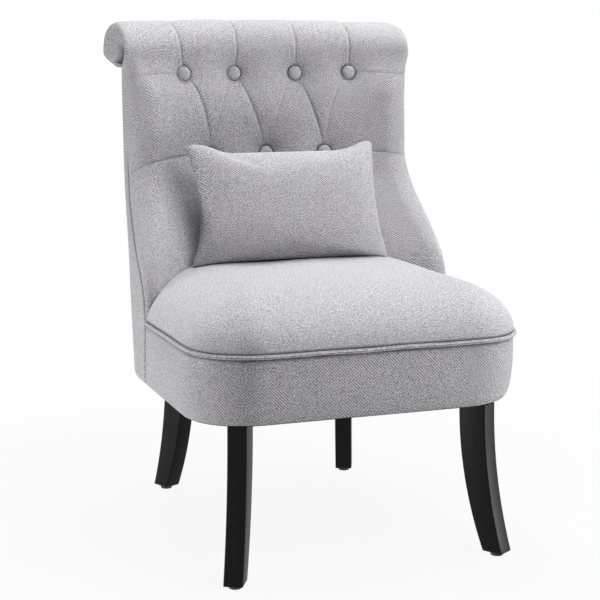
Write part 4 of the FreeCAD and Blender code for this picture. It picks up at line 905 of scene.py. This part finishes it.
def dust_sheet():
    """The black cloth under the seat, sagging a little between its tacks, its flat size and its area."""
    drum = DrumPlan(np.array([FOOT]), np.array([DUST_INSET]))
    back = Plan(np.array(FOOT))
    front = drum.front_run(drum.rear_y, 30, 30, 60)[:, 0]
    a = span(0.0, QUARTER, 30)[1:]
    r = back.corner - DUST_INSET
    middle = np.array([back.half - back.corner, back.rear - back.corner])
    corner = middle + r * stacked(np.cos(a), np.sin(a))
    edge = chain(front, corner, corner[::-1] * MIRROR, front[:1])
    share = span(1.0, 0.0, 30)[:, None]
    plan = DUST_MIDDLE + (edge - DUST_MIDDLE) * share[..., None]
    sag = DUST_SAG * np.maximum(1 - (share / 0.72) ** 2, 0.0) ** 2
    wave = 0.0006 * ripple(plan[..., 0], plan[..., 1], 0.12, 41) * np.minimum(sag / 0.001, 1.0)
    points = chain(plan, (LEG_TOP - sag + wave)[..., None], axis=-1)
    piece = thicken(weld(grid_piece("dust_sheet", points, plan, flip=True)), DUST_THICK)
    area = 0.5 * abs(float(np.sum(edge[:-1, 0] * edge[1:, 1] - edge[1:, 0] * edge[:-1, 1])))
    return piece, tuple(np.ptp(edge, axis=0).tolist()), area


# Finishes
def maths(operation, other_first=False):
    """A method that adds a Math node to a field's material."""
    def method(field, *others):
        values = (*others, field) if other_first else (field, *others)
        return field.finish.node("ShaderNodeMath", enumerate(values), operation=operation)
    return method


class Field:
    """A value in a material. Arithmetic on it adds Math nodes."""

    def __init__(self, finish, socket):
        self.finish = finish
        self.socket = socket

    __add__ = maths("ADD")
    __sub__ = maths("SUBTRACT")
    __rsub__ = maths("SUBTRACT", other_first=True)
    __mul__ = maths("MULTIPLY")
    __truediv__ = maths("DIVIDE")
    __lt__ = maths("LESS_THAN")
    __mod__ = maths("FLOORED_MODULO")
    floor = maths("FLOOR")
    root = maths("SQRT")
    at_most = maths("MINIMUM")


class NodeTree:
    """Shader nodes, built one by one."""

    def __init__(self, tree):
        self.tree = tree

    def set(self, socket, value):
        if isinstance(value, Field):
            self.tree.links.new(value.socket, socket)
        else:
            socket.default_value = value

    def node(self, kind, inputs=(), output=0, **settings):
        """One node: its settings first, then values or links for its sockets."""
        made = self.tree.nodes.new(kind)
        for key, value in settings.items():
            setattr(made, key, value)
        for key, value in dict(inputs).items():
            self.set(made.inputs[key], value)
        return Field(self, made.outputs[output])

    def seen_rays(self):
        """1 for what the camera sees directly, in a gloss or through glass, else 0."""
        kinds = ("Is Camera Ray", "Is Glossy Ray", "Is Transmission Ray")
        direct, glossy, through = (self.node("ShaderNodeLightPath", output=kind) for kind in kinds)
        return (direct + glossy + through).at_most(1.0)


class Finish(NodeTree):
    """A material of one shader."""

    def __init__(self, name, **constants):
        self.material = bpy.data.materials.new(name)
        self.material.use_nodes = True
        super().__init__(self.material.node_tree)
        self.shader = self.tree.nodes["Principled BSDF"]
        self.feed(**constants)

    def feed(self, **fields):
        """Set the shader's inputs, whose names have underscores here in place of spaces."""
        for key, value in fields.items():
            self.set(self.shader.inputs[key.replace("_", " ")], value)

    def blend(self, share, start, end):
        """A colour between two, by a share."""
        return self.node("ShaderNodeMix", {0: share, 6: start, 7: end}, output=2, data_type="RGBA")

    def noise(self, where, scale, detail=2.0):
        return self.node("ShaderNodeTexNoise", {"Vector": where, "Scale": scale, "Detail": detail})

    def vector(self, x, y, z):
        return self.node("ShaderNodeCombineXYZ", enumerate((x, y, z)))

    def parts(self, vector):
        """The x, y and z of a vector."""
        return [self.node("ShaderNodeSeparateXYZ", {0: vector}, output=axis) for axis in range(3)]

    def bump(self, height, strength, distance):
        return self.node("ShaderNodeBump", {"Strength": strength, "Distance": distance, "Height": height})

    def place(self):
        return self.node("ShaderNodeTexCoord", output="Object")

    def stretched(self, *sizes):
        """The place on the object, multiplied along its axes."""
        return self.vector(*(part * size for part, size in zip(self.parts(self.place()), sizes)))


def colour(red, green, blue):
    return (red, green, blue, 1.0)


def grey(level, blue=0.0):
    return colour(level, level, level * (1.0 + blue))


def violet_grey(level):
    return colour(level, level * 0.99, level * 1.035)


def twill_cover(name, twill=1.0, pale=0.74):
    """Woven cover: warp and weft change places in steps of two, so ribs run down to the right. Yarns
    have their own shades, slubs are paler or darker, and painted shade darkens seams, folds and gaps."""
    pitch = 0.0011
    f = Finish(name, Roughness=0.92, Specular_IOR_Level=0.2, Sheen_Weight=0.10, Sheen_Roughness=0.5)
    u, v, _ = f.parts(f.node("ShaderNodeUVMap", uv_map="cloth"))
    a, b = u / pitch, v / pitch
    column, row = a.floor(), b.floor()
    warp_up = ((column + row) % 4.0) < 1.5
    weft_up = 1.0 - warp_up
    on_warp, on_weft = (a - column) * 2.0 - 1.0, (b - row) * 2.0 - 1.0
    warp_high = 1.0 - on_warp * on_warp
    weft_high = 1.0 - on_weft * on_weft
    height = warp_up * warp_high + weft_up * (weft_high * 0.8)
    warp_tone = f.noise(f.vector(column * 7.31, v * 130.0, 0.0), 1.0, 1.0)
    weft_tone = f.noise(f.vector(u * 130.0, row * 7.31, 40.0), 1.0, 1.0)
    tone = warp_up * warp_tone + weft_up * weft_tone
    slub = f.noise(f.vector(u * 420.0, v * 420.0, 9.0), 1.0, 1.0)
    patch = f.noise(f.vector(u * 14.0, v * 14.0, 3.0), 1.0, 3.0)
    ribs = (warp_up - 0.5) * patch * twill + 0.25
    # Painted shade: height * 0.2 makes the yarns' crowns paler and the hollows between them darker.
    shade = ribs + (tone - 0.5) * 1.2 + (slub - 0.5) * 1.7 + height * 0.2 + 0.12
    yarn = f.blend(shade, violet_grey(0.13), violet_grey(pale))
    # Painted shade: the points' painted shade blends the yarn colour towards near black.
    crease = f.node("ShaderNodeAttribute", output="Fac", attribute_name="crease")
    f.feed(Base_Color=f.blend(crease, yarn, violet_grey(0.03)),
           Normal=f.bump(height + slub * 0.5, 0.6, 0.0005))
    return f.material


def black_lacquer():
    """Satin black paint over wood, with a faint long grain in its gloss."""
    f = Finish("black_lacquer", Specular_IOR_Level=0.09)
    grain = f.noise(f.stretched(240.0, 240.0, 9.0), 1.0, 3.0)
    cloud = f.noise(f.place(), 14.0)
    f.feed(Base_Color=f.blend(cloud, grey(0.004), grey(0.009)), Roughness=grain * 0.16 + cloud * 0.1 + 0.26,
           Normal=f.bump(grain, 0.08, 0.0004))
    return f.material


def plain_finish(name, dark, light, roughness, scale, stretch=(1.0, 1.0, 1.0), depth=0.0003, metallic=0.0):
    """A finish with streaks or specks between two colours, stretched along an axis, and a fine relief."""
    f = Finish(name, Metallic=metallic)
    streak = f.noise(f.stretched(*stretch), scale, 4.0)
    fine = f.noise(f.place(), scale * 6.0)
    f.feed(Base_Color=f.blend(streak, dark, light), Roughness=fine * 0.14 + roughness,
           Normal=f.bump(streak * 0.7 + fine * 0.3, 0.3, depth))
    return f.material


def studio_floor():
    """A pale floor with a faint shadow: to the camera it is mostly white, and all white further away."""
    f = Finish("pale_floor", Roughness=0.9)
    speck = f.noise(f.place(), 30.0)
    f.feed(Base_Color=f.blend(speck, grey(0.46), grey(0.52)))
    x, y, _ = f.parts(f.place())
    away = f.node("ShaderNodeMapRange",
                  {"Value": (x * x + y * y).root(), "From Min": 0.45, "From Max": 1.3,
                   "To Min": FLOOR_WHITE, "To Max": 1.0}, interpolation_type="SMOOTHSTEP")
    glow = f.node("ShaderNodeEmission", {"Strength": 1.0})
    lit = Field(f, f.shader.outputs[0])
    both = f.node("ShaderNodeMixShader", {0: f.seen_rays() * away, 1: lit, 2: glow})
    f.set(f.tree.nodes["Material Output"].inputs["Surface"], both)
    return f.material


# The chair, put together
def dress(piece, material):
    piece.data.materials.clear()
    piece.data.materials.append(material)


def fit(piece, material, nodes, body="chair"):
    """Finish a piece, hide the nodes that it stands for, and carry it on a body."""
    dress(piece, material)
    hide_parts(*nodes)
    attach(piece, body)


cover = twill_cover("woven_cover")
# Painted light: the seat's copy of the woven cover is paler than the rest, for the brighter light on the
# seat's top, and has fainter ribs.
painted_light_seat_cover = twill_cover("painted_light_seat_cover", twill=0.3, pale=0.87)
lacquer = black_lacquer()
nylon = plain_finish("black_nylon", grey(0.010), grey(0.022), 0.42, 60.0)
black_cloth = plain_finish("dust_cloth", grey(0.012), grey(0.026), 0.85, 420.0)

buttoned_back, button_seats = inside_back()
for piece, material, fill, nodes in (
        (buttoned_back, cover, 0.8, ["inside_back_cover", "back_foam", "roll_foam"]),
        (outside_back(), cover, 0.5, ["outside_back_cover", "outside_back_wadding"]),
        (seat_border(), cover, 0.5, ["seat_border_cover", "border_wadding"]),
        (seat_top(), painted_light_seat_cover, 0.9, ["seat_top_cover", "seat_foam", "spring_pad"])):
    fit(piece, material, nodes)
fit(seat_piping(), cover, ["seat_piping"])
fit(tuft_buttons(button_seats), cover, ["tuft_buttons"])

loose_pillow = pillow()
fit(loose_pillow, cover, ["pillow_front_cover", "pillow_rear_cover", "pillow_insert"],
    body="pillow")

for name, x, y, degrees in LEG_PLACES:
    fit(sabre_leg(name, x, y, degrees), lacquer, ["leg_" + name])
fit(floor_glides(), nylon, ["floor_glides"])

dust, dust_size, dust_area = dust_sheet()
fit(dust, black_cloth, ["dust_cover"])

NODE_FINISHES = {
    "plywood": plain_finish("plywood", colour(0.42, 0.29, 0.16), colour(0.62, 0.46, 0.28), 0.6, 5.0,
                            stretch=(3.0, 26.0, 60.0)),
    "hardwood": plain_finish("hardwood", colour(0.36, 0.22, 0.11), colour(0.55, 0.37, 0.20), 0.55, 6.0,
                             stretch=(22.0, 22.0, 2.0)),
    "fibreboard": plain_finish("fibreboard", colour(0.17, 0.10, 0.055), colour(0.24, 0.15, 0.085),
                               0.65, 160.0),
    "steel": plain_finish("zinc_steel", grey(0.50, 0.02), grey(0.66, 0.03), 0.28, 90.0,
                          depth=0.0001, metallic=1.0),
    "twine": plain_finish("waxed_twine", colour(0.50, 0.42, 0.30), colour(0.66, 0.58, 0.45), 0.7, 500.0),
    "zip": plain_finish("zip_tape", grey(0.26), grey(0.36), 0.7, 700.0),
}
for row in frame["record"]["subparts"]:
    node = frame["nodes"][row["node"]]
    if not node.hide_render:
        dress(node, NODE_FINISHES[row["material_slot"]])

# Stage: floor, light and camera. Pixels are those of the photo, which is square.
FLOOR_HALF = 9.0
FLOOR_WHITE = 0.92
AMBIENT = 0.19
CAMERA_PLACE = (-0.831, -2.217, 0.752)
CAMERA_TARGET = (-0.015, -0.015, 0.355)
SENSOR_MM = 36.0
FOCAL_PIXELS, PHOTO_PIXELS = 1546.0, 600.0

ends = span(-FLOOR_HALF, FLOOR_HALF, 2)[:, None]
floor_points = stacked(ends.T, ends, 0.0)
floor = grid_piece("floor", floor_points, floor_points[..., :2])
dress(floor, studio_floor())

scene = bpy.context.scene
scene.view_settings.view_transform = "Standard"
scene.world = bpy.data.worlds.new("studio")
scene.world.use_nodes = True
sky = NodeTree(scene.world.node_tree)
backdrop = sky.tree.nodes["Background"].inputs
sky.set(backdrop["Color"], grey(1.0))
sky.set(backdrop["Strength"], sky.seen_rays() * (1.0 - AMBIENT) + AMBIENT)


def aimed(name, data, place, target):
    """A lamp or camera at a place, looking at a target."""
    holder = bpy.data.objects.new(name, data)
    holder.location = place
    holder.rotation_euler = (Vector(target) - Vector(place)).to_track_quat("-Z", "Y").to_euler()
    scene.collection.objects.link(holder)
    return holder


for name, place, target, size, watts in (
        ("overhead", (0.12, 0.40, 2.5), (0.0, -0.05, 0.4), 1.4, 50.0),
        ("key_right", (0.95, -1.15, 2.0), (0.0, 0.0, 0.45), 1.5, 34.0),
        ("low_right", (1.25, -0.62, 0.14), (0.0, -0.1, 0.27), 0.24, 7.5),
        ("low_left", (-1.3, 0.1, 0.14), (0.0, 0.0, 0.27), 0.24, 9.5)):
    lamp = bpy.data.lights.new(name, "AREA")
    lamp.shape = "SQUARE"
    lamp.size = size
    lamp.energy = watts
    aimed(name, lamp, place, target)

lens = bpy.data.cameras.new("camera")
lens.sensor_width = SENSOR_MM
lens.lens = SENSOR_MM * FOCAL_PIXELS / PHOTO_PIXELS
scene.camera = aimed("camera", lens, CAMERA_PLACE, CAMERA_TARGET)
